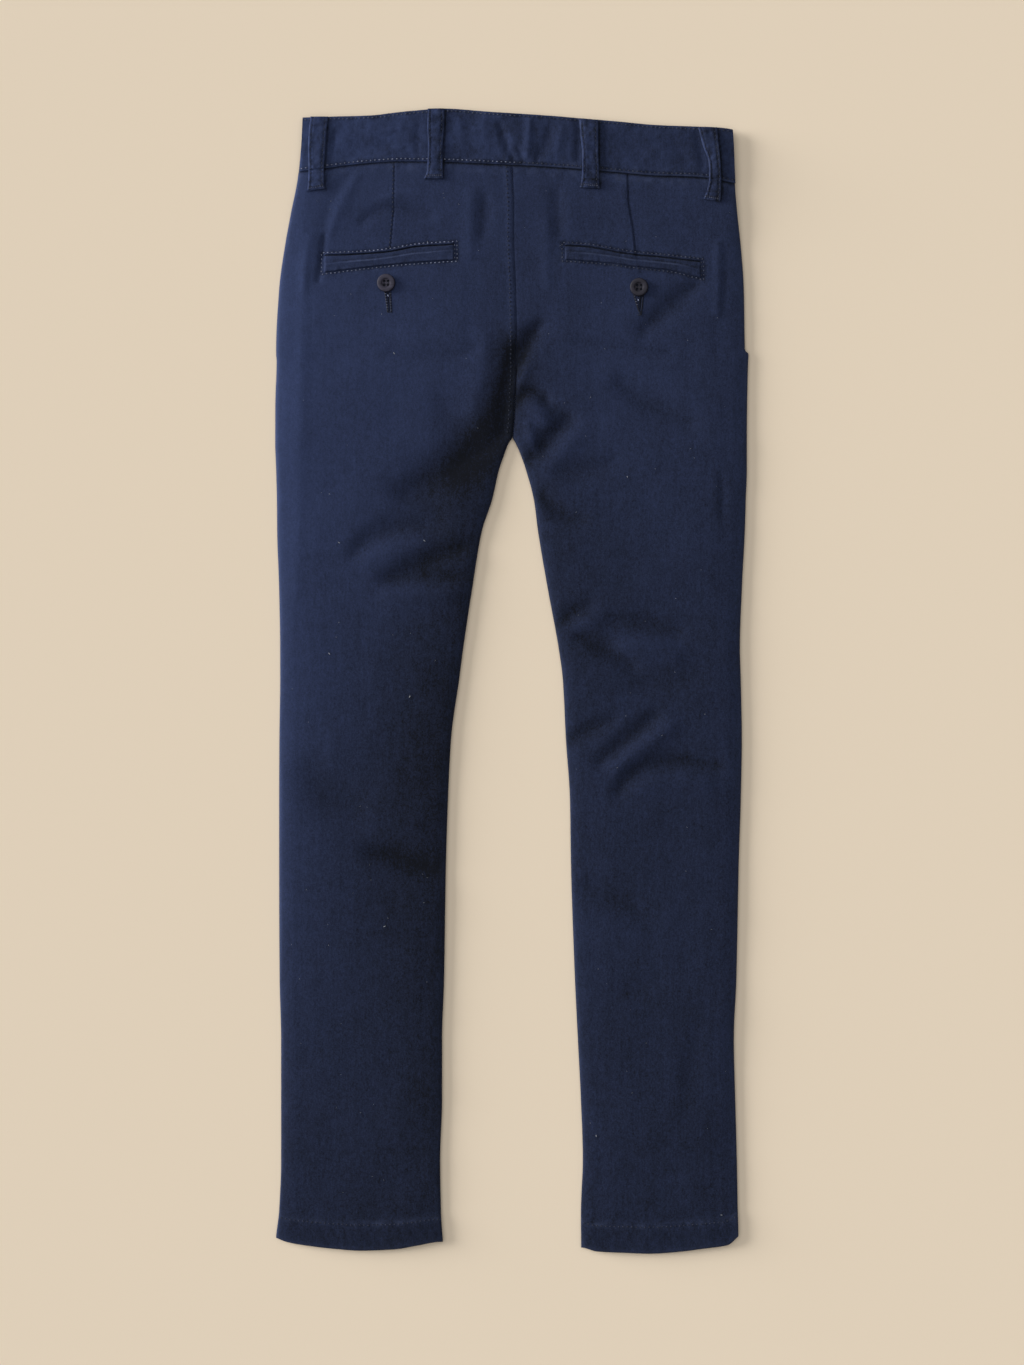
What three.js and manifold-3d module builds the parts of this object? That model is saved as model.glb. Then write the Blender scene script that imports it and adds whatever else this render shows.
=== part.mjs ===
// Chino trousers for a child of about ten, laid flat with the back side up.
// Millimetres. X runs across the garment, Y from the hems to the waist and Z up from the surface it lies on.
// Left and right are the wearer's, which are also the viewer's, because the back faces up.

import * as THREE from 'three';
import { mergeVertices } from 'three/addons/utils/BufferGeometryUtils.js';
import Module from 'manifold-3d';

const wasm = await Module();
wasm.setup();

// Cloth layers
const seamGap = 0.3;
const frontWall = 1.2;
const backWall = 1.4;
const bandWall = 1.9;
const hemFold = 0.5;
const deepestHollow = 3.6;
const deepestPuff = 5.2;

// Heights along the garment
const waistSeam = 385;
const hemCorner = -424;
const hemDepth = 19;
const crotch = 186;
const pocketFoot = 249;
const liftStart = 325;
const liftEnd = 370;

// The front loops and the waist button hold the waistband this far off the surface
const bandLift = 2.5;

// Where the seat takes over from the two legs, and how far in from an edge the cloth rounds up
const seatBlend = 95;
const edgeRound = 30;

// Pocket mouths, fly and waistband ends on the front
const pocketMouthReach = 46;
const zipWidth = 20;
const zipThick = 0.9;
const zipFoot = 262;
const zipHead = 368;
const zipEase = 7;

// The waistband's corners, its overlap past the middle and its length across the front
const bandCorners = { leftSeam: 387, leftTop: 429, rightSeam: 378, rightTop: 418 };
const bandLap = 12;
const bandAcross = 330;
const bandMiddle = 0.5;
const waistButtonPlace = { x: 3, y: 411 };

// Belt loops
const loopThick = 1.2;
const loopBow = 1.3;
const loopFlatness = 0.7;
const frontLoopWidth = 12;
const frontLoopDrop = 8;

// Buttons
const pocketButtonRadius = 6.9;
const waistButtonRadius = 7.5;
const pocketButtonThick = 2.4;
const buttonHoleRadius = 0.8;
const buttonHoleSpread = 1.5;
const buttonSides = 22;
const holeSides = 7;

// Welts
const weltThick = 0.9;
const weltHeight = 12.5;

// Side seams and inner leg seams at each height, with the centre back seam above the crotch
const edges = [
  { y: -436, outerLeft: -179.5, innerLeft: -51.5, innerRight: 53, outerRight: 171 },
  { y: -424, outerLeft: -179, innerLeft: -52.2, innerRight: 53, outerRight: 172.5 },
  { y: -403, outerLeft: -176.7, innerLeft: -53.6, innerRight: 52.8, outerRight: 172.1 },
  { y: -364, outerLeft: -175.2, innerLeft: -54.3, innerRight: 54.3, outerRight: 171.4 },
  { y: -318, outerLeft: -175.2, innerLeft: -52.8, innerRight: 52.8, outerRight: 170.2 },
  { y: -272, outerLeft: -175.2, innerLeft: -52.8, innerRight: 50.5, outerRight: 169.1 },
  { y: -227, outerLeft: -176.3, innerLeft: -51.3, innerRight: 48.3, outerRight: 171 },
  { y: -136, outerLeft: -176.7, innerLeft: -49.8, innerRight: 45.2, outerRight: 172.9 },
  { y: -90, outerLeft: -176.7, innerLeft: -48.3, innerRight: 44.5, outerRight: 174.4 },
  { y: -44, outerLeft: -176.5, innerLeft: -46, innerRight: 41.4, outerRight: 175.2 },
  { y: 1, outerLeft: -175.9, innerLeft: -39.9, innerRight: 39.1, outerRight: 174.4 },
  { y: 24, outerLeft: -175.9, innerLeft: -36.9, innerRight: 36.1, outerRight: 173.7 },
  { y: 70, outerLeft: -176.7, innerLeft: -30, innerRight: 27.7, outerRight: 175.2 },
  { y: 115, outerLeft: -178.2, innerLeft: -22.4, innerRight: 20.1, outerRight: 177.5 },
  { y: 138, outerLeft: -178.4, innerLeft: -14.8, innerRight: 17.1, outerRight: 178.2 },
  { y: 161, outerLeft: -179, innerLeft: -9.5, innerRight: 11, outerRight: 179 },
  { y: 172, outerLeft: -179.4, innerLeft: -5.7, innerRight: 7.2, outerRight: 179 },
  { y: 181, outerLeft: -179.7, innerLeft: -2.4, innerRight: 3.4, outerRight: 179 },
  { y: 186, outerLeft: -179.7, innerLeft: 0.8, innerRight: 0.8, outerRight: 179 },
  { y: 210, outerLeft: -179.6, innerLeft: 2.6, innerRight: 2.6, outerRight: 179.2 },
  { y: 244, outerLeft: -178.6, innerLeft: 3.8, innerRight: 3.8, outerRight: 180 },
  { y: 249, outerLeft: -179, innerLeft: 3.8, innerRight: 3.8, outerRight: 180.3 },
  { y: 252, outerLeft: -179, innerLeft: 3.8, innerRight: 3.8, outerRight: 177.6 },
  { y: 298, outerLeft: -176.7, innerLeft: 2.9, innerRight: 2.9, outerRight: 176.7 },
  { y: 332, outerLeft: -172.1, innerLeft: 1.6, innerRight: 1.6, outerRight: 174.4 },
  { y: 355, outerLeft: -167.6, innerLeft: 1.5, innerRight: 1.5, outerRight: 172.1 },
  { y: 381, outerLeft: -162.3, innerLeft: 0.5, innerRight: 0.5, outerRight: 170 },
  { y: 408, outerLeft: -159.6, innerLeft: -0.2, innerRight: -0.2, outerRight: 168.8 },
  { y: 430, outerLeft: -158.5, innerLeft: -0.2, innerRight: -0.2, outerRight: 167 },
];

// The waistband across the garment: its top edge and the seam under it
const waistCurve = [
  { x: -180, top: 427.5, seam: 385 },
  { x: -160, top: 428.3, seam: 387.2 },
  { x: -136, top: 429, seam: 390.2 },
  { x: -109, top: 429.8, seam: 393.3 },
  { x: -82, top: 432.8, seam: 394.7 },
  { x: -50, top: 435.1, seam: 394.3 },
  { x: -18, top: 432.8, seam: 392.9 },
  { x: 28, top: 429.8, seam: 390.7 },
  { x: 55, top: 427.5, seam: 388.7 },
  { x: 82, top: 425.2, seam: 386.4 },
  { x: 110, top: 422.6, seam: 384 },
  { x: 137, top: 421.6, seam: 383.2 },
  { x: 155, top: 420.9, seam: 381.5 },
  { x: 164, top: 420, seam: 379.4 },
  { x: 180, top: 416, seam: 377 },
];

// The hem edge across each leg
const hemCurve = [
  { x: -180, foot: -422.5 },
  { x: -170, foot: -426.4 },
  { x: -155, foot: -429 },
  { x: -136, foot: -431.3 },
  { x: -114, foot: -432.8 },
  { x: -88, foot: -431.7 },
  { x: -72, foot: -429 },
  { x: -53, foot: -426 },
  { x: 54, foot: -430.5 },
  { x: 65, foot: -433.4 },
  { x: 82, foot: -434.3 },
  { x: 105, foot: -435.1 },
  { x: 128, foot: -433.6 },
  { x: 146, foot: -431.3 },
  { x: 164, foot: -428.7 },
  { x: 173, foot: -421.5 },
];

// How full the back stands over the front at each height
const fullness = [
  { y: -436, rise: 1.2 },
  { y: -404, rise: 1.5 },
  { y: -330, rise: 2.6 },
  { y: -150, rise: 3.4 },
  { y: 60, rise: 3.8 },
  { y: 150, rise: 3.6 },
  { y: 260, rise: 3.2 },
  { y: 340, rise: 2.5 },
  { y: 372, rise: 1.7 },
  { y: 392, rise: 0.8 },
];

// The largest folds of the back, as a line from one end through a bend to the other.
// A negative height is a trough and a positive one a ridge.
const folds = [
  { name: 'crotch hollow', from: [0, 248], bend: [-3, 215], to: [-7, 186], half: 13, height: -2.6 },
  { name: 'crotch to left thigh', from: [-14, 184], bend: [-56, 159], to: [-84, 150], half: 10, height: -1.9 },
  { name: 'left thigh upper', from: [-120, 97], bend: [-92, 124], to: [-64, 121], half: 9, height: -1.4 },
  { name: 'left thigh upper roll', from: [-104, 98], bend: [-86, 107], to: [-72, 108], half: 8, height: 1.1 },
  { name: 'left thigh lower', from: [-96, 76], bend: [-60, 100], to: [-30, 94], half: 9, height: -1.5 },
  { name: 'left thigh lower roll', from: [-84, 62], bend: [-66, 70], to: [-48, 72], half: 10, height: 1 },
  { name: 'left knee dent', from: [-156, -70], bend: [-152, -76], to: [-146, -84], half: 18, height: -0.9 },
  { name: 'left knee', from: [-108, -126], bend: [-84, -132], to: [-58, -143], half: 13, height: -1.1 },
  { name: 'right crotch', from: [14, 174], bend: [28, 190], to: [44, 202], half: 8, height: -1.3 },
  { name: 'right thigh inner', from: [20, 150], bend: [28, 136], to: [46, 125], half: 8, height: -1.3 },
  { name: 'right knee upper', from: [52, 33], bend: [72, 24], to: [92, 11], half: 9, height: -1.2 },
  { name: 'right knee upper roll', from: [86, 26], bend: [105, 25], to: [124, 20], half: 9, height: 1.1 },
  { name: 'right knee middle', from: [46, -44], bend: [60, -36], to: [76, -30], half: 9, height: -1.3 },
  { name: 'right knee lower', from: [68, -60], bend: [88, -44], to: [109, -26], half: 9, height: -1.4 },
  { name: 'right knee lower roll', from: [80, -66], bend: [100, -50], to: [120, -36], half: 9, height: 1.2 },
  { name: 'right knee outer', from: [84, -84], bend: [112, -57], to: [158, -54], half: 9, height: -1.4 },
  { name: 'right calf', from: [60, -155], bend: [78, -163], to: [96, -174], half: 13, height: -0.9 },
  { name: 'left hip', from: [-135, 366], bend: [-145, 333], to: [-150, 298], half: 9, height: -1.1 },
  { name: 'left hip roll', from: [-118, 378], bend: [-129, 360], to: [-138, 338], half: 8, height: 0.8 },
  { name: 'right hip', from: [105, 277], bend: [120, 289], to: [136, 300], half: 9, height: -0.9 },
];

// Belt loops on the back. The fourth one has turned on edge half way down.
const backLoops = [
  { name: 'belt_loop_1', top: -148.2, middle: -148.2, base: -147.7, foot: 373, width: 12.6, turn: 0 },
  { name: 'belt_loop_2', top: -58.5, middle: -58.5, base: -59.5, foot: 381.5, width: 12, turn: 0 },
  { name: 'belt_loop_3', top: 58.7, middle: 59.5, base: 60.3, foot: 374.5, width: 12.4, turn: 0 },
  { name: 'belt_loop_4', top: 149, middle: 154, base: 152.6, foot: 365, width: 11, turn: 28 },
];

const frontLoops = [
  { name: 'belt_loop_5', x: -88 },
  { name: 'belt_loop_6', x: 88 },
];

// Welt pockets on the back: the ends of the mouth and its sag below a straight line
const welts = [
  { name: 'welt_left', from: [-142.5, 323.6], to: [-42.5, 332], sag: -0.8 },
  { name: 'welt_right', from: [39.9, 330.8], to: [145.5, 318.4], sag: -1.6 },
];

const pocketButtons = [
  { name: 'back_button_left', x: -94.8, y: 302.2 },
  { name: 'back_button_right', x: 97.2, y: 299 },
];

// How many strips each piece is drawn in
const backColumns = 12;
const frontColumns = 6;
const bandColumns = 26;
const closeRows = 12;
const openRows = 25;
const closeRowsFoot = -110;

const lerp = THREE.MathUtils.lerp;
const clamp = THREE.MathUtils.clamp;

function ramp(value, from, to) {
  return THREE.MathUtils.smoothstep(value, from, to);
}

// A smooth curve through one column of a table, without overshoot
function along(table, key, column, at) {
  const last = table.length - 1;
  const place = clamp(at, table[0][key], table[last][key]);
  const i = Math.max(0, Math.min(last - 1, table.findIndex((row) => row[key] >= place) - 1));
  const slope = (j) => (table[j + 1][column] - table[j][column]) / (table[j + 1][key] - table[j][key]);
  const tangent = (j) => {
    const before = slope(Math.max(0, j - 1));
    const after = slope(Math.min(last - 1, j));
    return before * after <= 0 ? 0 : (2 * before * after) / (before + after);
  };
  const span = table[i + 1][key] - table[i][key];
  const t = (place - table[i][key]) / span;
  const rise = t * t * (3 - 2 * t);
  return (
    lerp(table[i][column], table[i + 1][column], rise) +
    span * (t * (1 - t) ** 2 * tangent(i) - t * t * (1 - t) * tangent(i + 1))
  );
}

function bow(from, bend, to, t) {
  const control = [0, 1].map((k) => 2 * bend[k] - (from[k] + to[k]) / 2);
  return [0, 1].map((k) => (1 - t) ** 2 * from[k] + 2 * t * (1 - t) * control[k] + t * t * to[k]);
}

function outerEdge(side, y) {
  return along(edges, 'y', `outer${side}`, y);
}

// The inner leg seam, or above the crotch the centre seam, which both sides share
function innerEdge(side, y) {
  return along(edges, 'y', y > crotch ? 'innerLeft' : `inner${side}`, y);
}

// The height that the folds add at a point of the back
function foldHeight(x, y) {
  const steps = 8;
  let sum = 0;
  for (const fold of folds) {
    let nearest = Infinity;
    for (let i = 0; i <= steps; i += 1) {
      const t = i / steps;
      const [fx, fy] = bow(fold.from, fold.bend, fold.to, t);
      const ends = 0.35 * (1 - Math.sin(Math.PI * t));
      nearest = Math.min(nearest, Math.hypot(x - fx, y - fy) / fold.half + ends);
    }
    sum += fold.height * Math.exp(-nearest * nearest);
  }
  return sum;
}

function roundUp(distance) {
  const t = clamp(distance / edgeRound, 0, 1);
  return Math.sqrt(1 - (1 - t) ** 2);
}

// How far the back stands off its resting level at a point
function puff(x, y) {
  const side = x < innerEdge('Left', Math.max(y, crotch)) ? 'Left' : 'Right';
  const toOuter = Math.abs(x - outerEdge(side, y));
  const toInner = Math.abs(x - innerEdge(side, y));
  const seat = ramp(y, crotch - 4, crotch + seatBlend);
  const rim = roundUp(toOuter) * lerp(roundUp(toInner), 1, seat);
  return clamp(rim * (along(fullness, 'y', 'rise', y) + foldHeight(x, y)), 0, deepestPuff);
}

function liftAt(y) {
  return bandLift * ramp(y, liftStart, liftEnd);
}

function hemAt(y) {
  return y < hemCorner + hemDepth ? hemFold : 0;
}

function frontTop(y) {
  return frontWall + liftAt(y) + hemAt(y);
}

// A section's true height at one x: the top section follows the waist seam and the bottom one the hem
function bent(x, y) {
  const toWaist = ramp(y, waistSeam - 70, waistSeam);
  const toHem = 1 - ramp(y, hemCorner, hemCorner + 45);
  const waistShift = along(waistCurve, 'x', 'seam', x) - seamGap / 2 - waistSeam;
  const hemShift = along(hemCurve, 'x', 'foot', x) - hemCorner;
  return y + toWaist * waistShift + toHem * hemShift;
}

// Heights of the sections, close together where the folds are
function sectionHeights() {
  const list = [hemCorner, hemCorner + hemDepth - 1, hemCorner + hemDepth + 1];
  const fill = (from, to, step) => {
    const count = Math.round((to - from) / step);
    for (let i = 1; i <= count; i += 1) list.push(lerp(from, to, i / count));
  };
  fill(hemCorner + hemDepth + 1, closeRowsFoot, openRows);
  fill(closeRowsFoot, crotch, closeRows);
  fill(crotch, pocketFoot, closeRows);
  fill(pocketFoot, waistSeam, closeRows);
  return list;
}

// One closed body between an upper and a lower face, on a grid of columns and rows.
// place(i, j) gives { x, y, low, high }.
function slab(columns, rows, place) {
  const points = [];
  const faces = [];
  for (const level of ['high', 'low']) {
    for (let j = 0; j <= rows; j += 1) {
      for (let i = 0; i <= columns; i += 1) {
        const p = place(i, j);
        points.push(p.x, p.y, p[level]);
      }
    }
  }
  const wide = columns + 1;
  const under = wide * (rows + 1);
  const at = (i, j) => j * wide + i;
  const quad = (a, b, c, d) => faces.push(a, b, c, a, c, d);
  for (let j = 0; j < rows; j += 1) {
    for (let i = 0; i < columns; i += 1) {
      quad(at(i, j), at(i + 1, j), at(i + 1, j + 1), at(i, j + 1));
      quad(under + at(i, j), under + at(i, j + 1), under + at(i + 1, j + 1), under + at(i + 1, j));
    }
  }
  for (let i = 0; i < columns; i += 1) {
    quad(under + at(i, 0), under + at(i + 1, 0), at(i + 1, 0), at(i, 0));
    quad(at(i, rows), at(i + 1, rows), under + at(i + 1, rows), under + at(i, rows));
  }
  for (let j = 0; j < rows; j += 1) {
    quad(at(0, j), at(0, j + 1), under + at(0, j + 1), under + at(0, j));
    quad(under + at(columns, j), under + at(columns, j + 1), at(columns, j + 1), at(columns, j));
  }
  const geometry = new THREE.BufferGeometry();
  geometry.setAttribute('position', new THREE.Float32BufferAttribute(points, 3));
  geometry.setIndex(faces);
  geometry.computeVertexNormals();
  return geometry;
}

const twill = { color: 0x26304a, roughness: 0.92, metalness: 0 };
const horn = { color: 0x2b2c36, roughness: 0.45, metalness: 0 };
const tape = { color: 0x1b2233, roughness: 0.8, metalness: 0 };

const group = new THREE.Group();

function add(name, geometry, finish) {
  const mesh = new THREE.Mesh(geometry, new THREE.MeshStandardMaterial(finish));
  mesh.name = name;
  group.add(mesh);
  return mesh;
}

// Columns stand closer at the edges, where the cloth rounds up
function spread(i, count) {
  const t = i / count;
  return lerp(t, 0.5 - 0.5 * Math.cos(Math.PI * t), 0.45);
}

const heights = sectionHeights();

function backPanel(side) {
  const inward = side === 'Left' ? -1 : 1;
  return slab(backColumns, heights.length - 1, (i, j) => {
    const y = heights[j];
    const outer = outerEdge(side, y);
    const inner = innerEdge(side, y) + (inward * seamGap) / 2;
    const share = spread(side === 'Left' ? i : backColumns - i, backColumns);
    const x = lerp(outer, inner, share);
    const rise = puff(x, y);
    const rest = frontTop(y) + seamGap;
    return {
      x,
      y: bent(x, y),
      low: rest + Math.min(rise, deepestHollow),
      high: rest + rise + backWall + hemAt(y),
    };
  });
}

// The slanted pocket mouth: how far it lies in from the side seam
function mouthInset(y) {
  return pocketMouthReach * clamp((y - pocketFoot) / (waistSeam - pocketFoot), 0, 1);
}

function frontPanel(side) {
  const inward = side === 'Left' ? -1 : 1;
  return slab(frontColumns, heights.length - 1, (i, j) => {
    const y = heights[j];
    const inset = -inward * mouthInset(y);
    const outer = outerEdge(side, y) + inset;
    const inner = innerEdge(side, y) + (inward * seamGap) / 2;
    const share = (side === 'Left' ? i : frontColumns - i) / frontColumns;
    const x = lerp(outer, inner, share);
    return { x, y: bent(x, y), low: liftAt(y), high: frontTop(y) };
  });
}

function pocketFacing(side) {
  const inward = side === 'Left' ? -1 : 1;
  const rows = heights.filter((y) => mouthInset(y) > 2);
  const columns = 2;
  return slab(columns, rows.length - 1, (i, j) => {
    const y = rows[j];
    const outer = outerEdge(side, y);
    const mouth = outer - inward * (mouthInset(y) - 2 * seamGap);
    const share = (side === 'Left' ? i : columns - i) / columns;
    const x = lerp(outer, mouth, share);
    return { x, y: bent(x, y), low: liftAt(y), high: frontTop(y) };
  });
}

// A stretch of waistband between two shares of the way across
function waistband(from, to, columns, low, high) {
  const rows = 3;
  return slab(columns, rows, (i, j) => {
    const v = j / rows;
    const left = outerEdge('Left', lerp(bandCorners.leftSeam, bandCorners.leftTop, v));
    const right = outerEdge('Right', lerp(bandCorners.rightSeam, bandCorners.rightTop, v));
    const x = lerp(left, right, lerp(from, to, i / columns));
    const seam = along(waistCurve, 'x', 'seam', x) + seamGap / 2;
    return { x, y: lerp(seam, along(waistCurve, 'x', 'top', x), v), low, high };
  });
}

// The highest point of some pieces near a place, so that what lies on them is clear of them
const probe = new THREE.Raycaster();
const down = new THREE.Vector3(0, 0, -1);
function levelOn(pieces, x, y) {
  const reach = 0.9;
  let level = 0;
  for (const dx of [-reach, 0, reach]) {
    for (const dy of [-reach, 0, reach]) {
      probe.set(new THREE.Vector3(x + dx, y + dy, 50), down);
      for (const hit of probe.intersectObjects(pieces, false)) level = Math.max(level, hit.point.z);
    }
  }
  return level;
}

function backLoop(loop, carriers) {
  const columns = 2;
  const rows = 10;
  return slab(columns, rows, (i, j) => {
    const v = j / rows;
    const head = along(waistCurve, 'x', 'top', loop.top);
    const y = lerp(loop.foot, head, v);
    const [centre] = bow([loop.base, 0], [loop.middle, 0], [loop.top, 0], v);
    const turn = THREE.MathUtils.degToRad(loop.turn) * Math.sin(Math.PI * v) ** 2;
    const across = (i / columns - 0.5) * loop.width;
    const x = centre + across * Math.cos(turn);
    const arch = loopBow * Math.sin(Math.PI * Math.min(v, 1)) ** loopFlatness;
    const stand = seamGap + arch + (across + loop.width / 2) * Math.sin(turn);
    const level = levelOn(carriers, x, Math.min(y, head - 1.5)) + stand;
    return { x, y, low: level, high: level + loopThick };
  });
}

function frontLoop(loop) {
  const columns = 1;
  const rows = 8;
  return slab(columns, rows, (i, j) => {
    const v = j / rows;
    const seam = along(waistCurve, 'x', 'seam', loop.x);
    const y = lerp(seam - frontLoopDrop, along(waistCurve, 'x', 'top', loop.x), v);
    const low = (bandLift - seamGap - loopThick) * (1 - Math.sin(Math.PI * v) ** loopFlatness);
    const x = loop.x + (i - 0.5) * frontLoopWidth;
    return { x, y, low, high: low + loopThick };
  });
}

// The folded strip under a pocket mouth, made from the panel's own surface
function welt(shape, panel) {
  const columns = 16;
  const rows = 3;
  const middle = [0, 1].map((k) => (shape.from[k] + shape.to[k]) / 2);
  const bend = [middle[0], middle[1] - shape.sag];
  return slab(columns, rows, (i, j) => {
    const [x, mouth] = bow(shape.from, bend, shape.to, i / columns);
    const y = mouth - weltHeight * (1 - j / rows);
    const low = levelOn([panel], x, y) + seamGap;
    return { x, y, low, high: low + weltThick };
  });
}

function fromMesh(geometry) {
  const bare = geometry.clone();
  bare.deleteAttribute('normal');
  bare.deleteAttribute('uv');
  const merged = mergeVertices(bare, 1e-4);
  return new wasm.Manifold(
    new wasm.Mesh({
      numProp: 3,
      vertProperties: new Float32Array(merged.attributes.position.array),
      triVerts: new Uint32Array(merged.index.array),
    }),
  );
}

function toGeometry(solid) {
  const mesh = solid.getMesh();
  const geometry = new THREE.BufferGeometry();
  geometry.setAttribute('position', new THREE.BufferAttribute(mesh.vertProperties, 3));
  geometry.setIndex(new THREE.BufferAttribute(mesh.triVerts, 1));
  geometry.computeVertexNormals();
  return geometry;
}

// A button with a raised rim, a dished middle and four holes, standing on z = 0
function button(radius, thick) {
  const profile = [
    [0, 0],
    [radius - 0.7, 0],
    [radius, thick * 0.35],
    [radius, thick * 0.75],
    [radius - 0.6, thick],
    [radius - 1.5, thick],
    [radius - 2.3, thick * 0.68],
    [0, thick * 0.6],
  ].map(([r, z]) => new THREE.Vector2(r, z));
  const turned = new THREE.LatheGeometry(profile, buttonSides).rotateX(Math.PI / 2);
  let body = fromMesh(turned);
  if (body.volume() < 0) throw new Error('the button is inside out');
  for (const dx of [-buttonHoleSpread, buttonHoleSpread]) {
    for (const dy of [-buttonHoleSpread, buttonHoleSpread]) {
      const hole = new THREE.CylinderGeometry(buttonHoleRadius, buttonHoleRadius, 4 * thick, holeSides);
      hole.rotateX(Math.PI / 2).translate(dx, dy, 0);
      body = body.subtract(fromMesh(hole));
    }
  }
  return toGeometry(body);
}

function zip() {
  const columns = 2;
  const rows = 8;
  return slab(columns, rows, (i, j) => {
    const y = lerp(zipFoot, zipHead, j / rows);
    const x = innerEdge('Left', y) + (i / columns - 0.5) * zipWidth;
    const low = frontWall + liftAt(y + zipEase) + seamGap;
    return { x, y, low, high: low + zipThick };
  });
}

// The two layers
for (const side of ['Left', 'Right']) {
  add(`front_${side.toLowerCase()}`, frontPanel(side), twill);
  add(`pocket_facing_${side.toLowerCase()}`, pocketFacing(side), twill);
}
const backs = {
  left: add('back_left', backPanel('Left'), twill),
  right: add('back_right', backPanel('Right'), twill),
};

// The waistband: one length across the back, and two on the front that lap at the fly
const bandTop = bandLift + bandWall;
const lapEnd = bandMiddle + bandLap / bandAcross;
const lapStart = lapEnd + seamGap / bandAcross;
const bandBack = add(
  'waistband_back',
  waistband(0, 1, bandColumns, bandTop + seamGap, bandTop + seamGap + bandWall),
  twill,
);
add('waistband_front_left', waistband(0, lapEnd, bandColumns / 2, bandLift, bandTop), twill);
add('waistband_front_right', waistband(lapStart, 1, bandColumns / 2, bandLift, bandTop), twill);

// What lies on the cloth
for (const loop of backLoops) {
  add(loop.name, backLoop(loop, [bandBack, backs.left, backs.right]), twill);
}
for (const loop of frontLoops) add(loop.name, frontLoop(loop), twill);
add(welts[0].name, welt(welts[0], backs.left), twill);
add(welts[1].name, welt(welts[1], backs.right), twill);
add('fly_zip', zip(), tape);

for (const place of pocketButtons) {
  const panel = place.x < 0 ? backs.left : backs.right;
  const under = [0, 1, 2, 3, 4, 5, 6, 7].map((k) => {
    const angle = (k * Math.PI) / 4;
    const ring = pocketButtonRadius - 0.7;
    return levelOn([panel], place.x + ring * Math.cos(angle), place.y + ring * Math.sin(angle));
  });
  const mesh = add(place.name, button(pocketButtonRadius, pocketButtonThick), horn);
  mesh.position.set(place.x, place.y, Math.max(...under) + seamGap);
}

// The waist button hangs under the waistband, with its face on the surface
const waistButton = add('waist_button', button(waistButtonRadius, bandLift - seamGap), horn);
waistButton.rotation.x = Math.PI;
waistButton.position.set(waistButtonPlace.x, waistButtonPlace.y, bandLift - seamGap);

export default group;
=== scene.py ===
"""Chino trousers for a child, laid flat with the back up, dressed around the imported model."""

import math
import bpy
import numpy as np
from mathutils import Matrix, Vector


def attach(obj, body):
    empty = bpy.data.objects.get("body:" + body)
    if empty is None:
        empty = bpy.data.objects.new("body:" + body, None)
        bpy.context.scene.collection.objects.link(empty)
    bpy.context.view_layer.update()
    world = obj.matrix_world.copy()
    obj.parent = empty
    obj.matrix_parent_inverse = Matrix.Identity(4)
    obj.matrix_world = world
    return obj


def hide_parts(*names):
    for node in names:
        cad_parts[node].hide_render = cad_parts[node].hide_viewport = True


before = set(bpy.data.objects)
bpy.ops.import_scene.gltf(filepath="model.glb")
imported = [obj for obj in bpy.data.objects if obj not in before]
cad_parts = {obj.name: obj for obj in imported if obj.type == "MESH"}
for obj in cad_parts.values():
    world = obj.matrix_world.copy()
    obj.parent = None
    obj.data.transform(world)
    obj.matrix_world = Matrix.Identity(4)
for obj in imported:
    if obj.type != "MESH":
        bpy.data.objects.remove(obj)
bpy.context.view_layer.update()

MM = 0.001

# Cloth layers, in millimetres
SEAM_GAP = 0.3
FRONT_WALL = 1.2
BACK_WALL = 1.4
BAND_WALL = 1.9
HEM_FOLD = 0.5
DEEPEST_HOLLOW = 3.6

# Heights along the garment
WAIST_SEAM = 385.0
HEM_CORNER = -424.0
HEM_DEPTH = 19.0
CROTCH = 186.0
POCKET_FOOT = 249.0
LIFT_START = 325.0
LIFT_END = 370.0
BAND_LIFT = 2.5
SEAT_BLEND = 95.0
EDGE_ROUND = 30.0
MOUTH_REACH = 46.0

# Side seams and inner leg seams at each height, with the centre back seam above the crotch
EDGES = {
    "y": [-436, -424, -403, -364, -318, -272, -227, -136, -90, -44, 1, 24, 70, 115, 138, 161,
          172, 181, 186, 210, 244, 249, 252, 298, 332, 355, 381, 408, 430],
    "outer_left": [-179.5, -179, -176.7, -175.2, -175.2, -175.2, -176.3, -176.7, -176.7, -176.5,
                   -175.9, -175.9, -176.7, -178.2, -178.4, -179, -179.4, -179.7, -179.7, -179.6,
                   -178.6, -179, -179, -176.7, -172.1, -167.6, -162.3, -159.6, -158.5],
    "inner_left": [-51.5, -52.2, -53.6, -54.3, -52.8, -52.8, -51.3, -49.8, -48.3, -46, -39.9,
                   -36.9, -30, -22.4, -14.8, -9.5, -5.7, -2.4, 0.8, 2.6, 3.8, 3.8, 3.8, 2.9, 1.6,
                   1.5, 0.5, -0.2, -0.2],
    "inner_right": [53, 53, 52.8, 54.3, 52.8, 50.5, 48.3, 45.2, 44.5, 41.4, 39.1, 36.1, 27.7,
                    20.1, 17.1, 11, 7.2, 3.4, 0.8, 2.6, 3.8, 3.8, 3.8, 2.9, 1.6, 1.5, 0.5, -0.2,
                    -0.2],
    "outer_right": [171, 172.5, 172.1, 171.4, 170.2, 169.1, 171, 172.9, 174.4, 175.2, 174.4,
                    173.7, 175.2, 177.5, 178.2, 179, 179, 179, 179, 179.2, 180, 180.3, 177.6,
                    176.7, 174.4, 172.1, 170, 168.8, 167],
}

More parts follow.
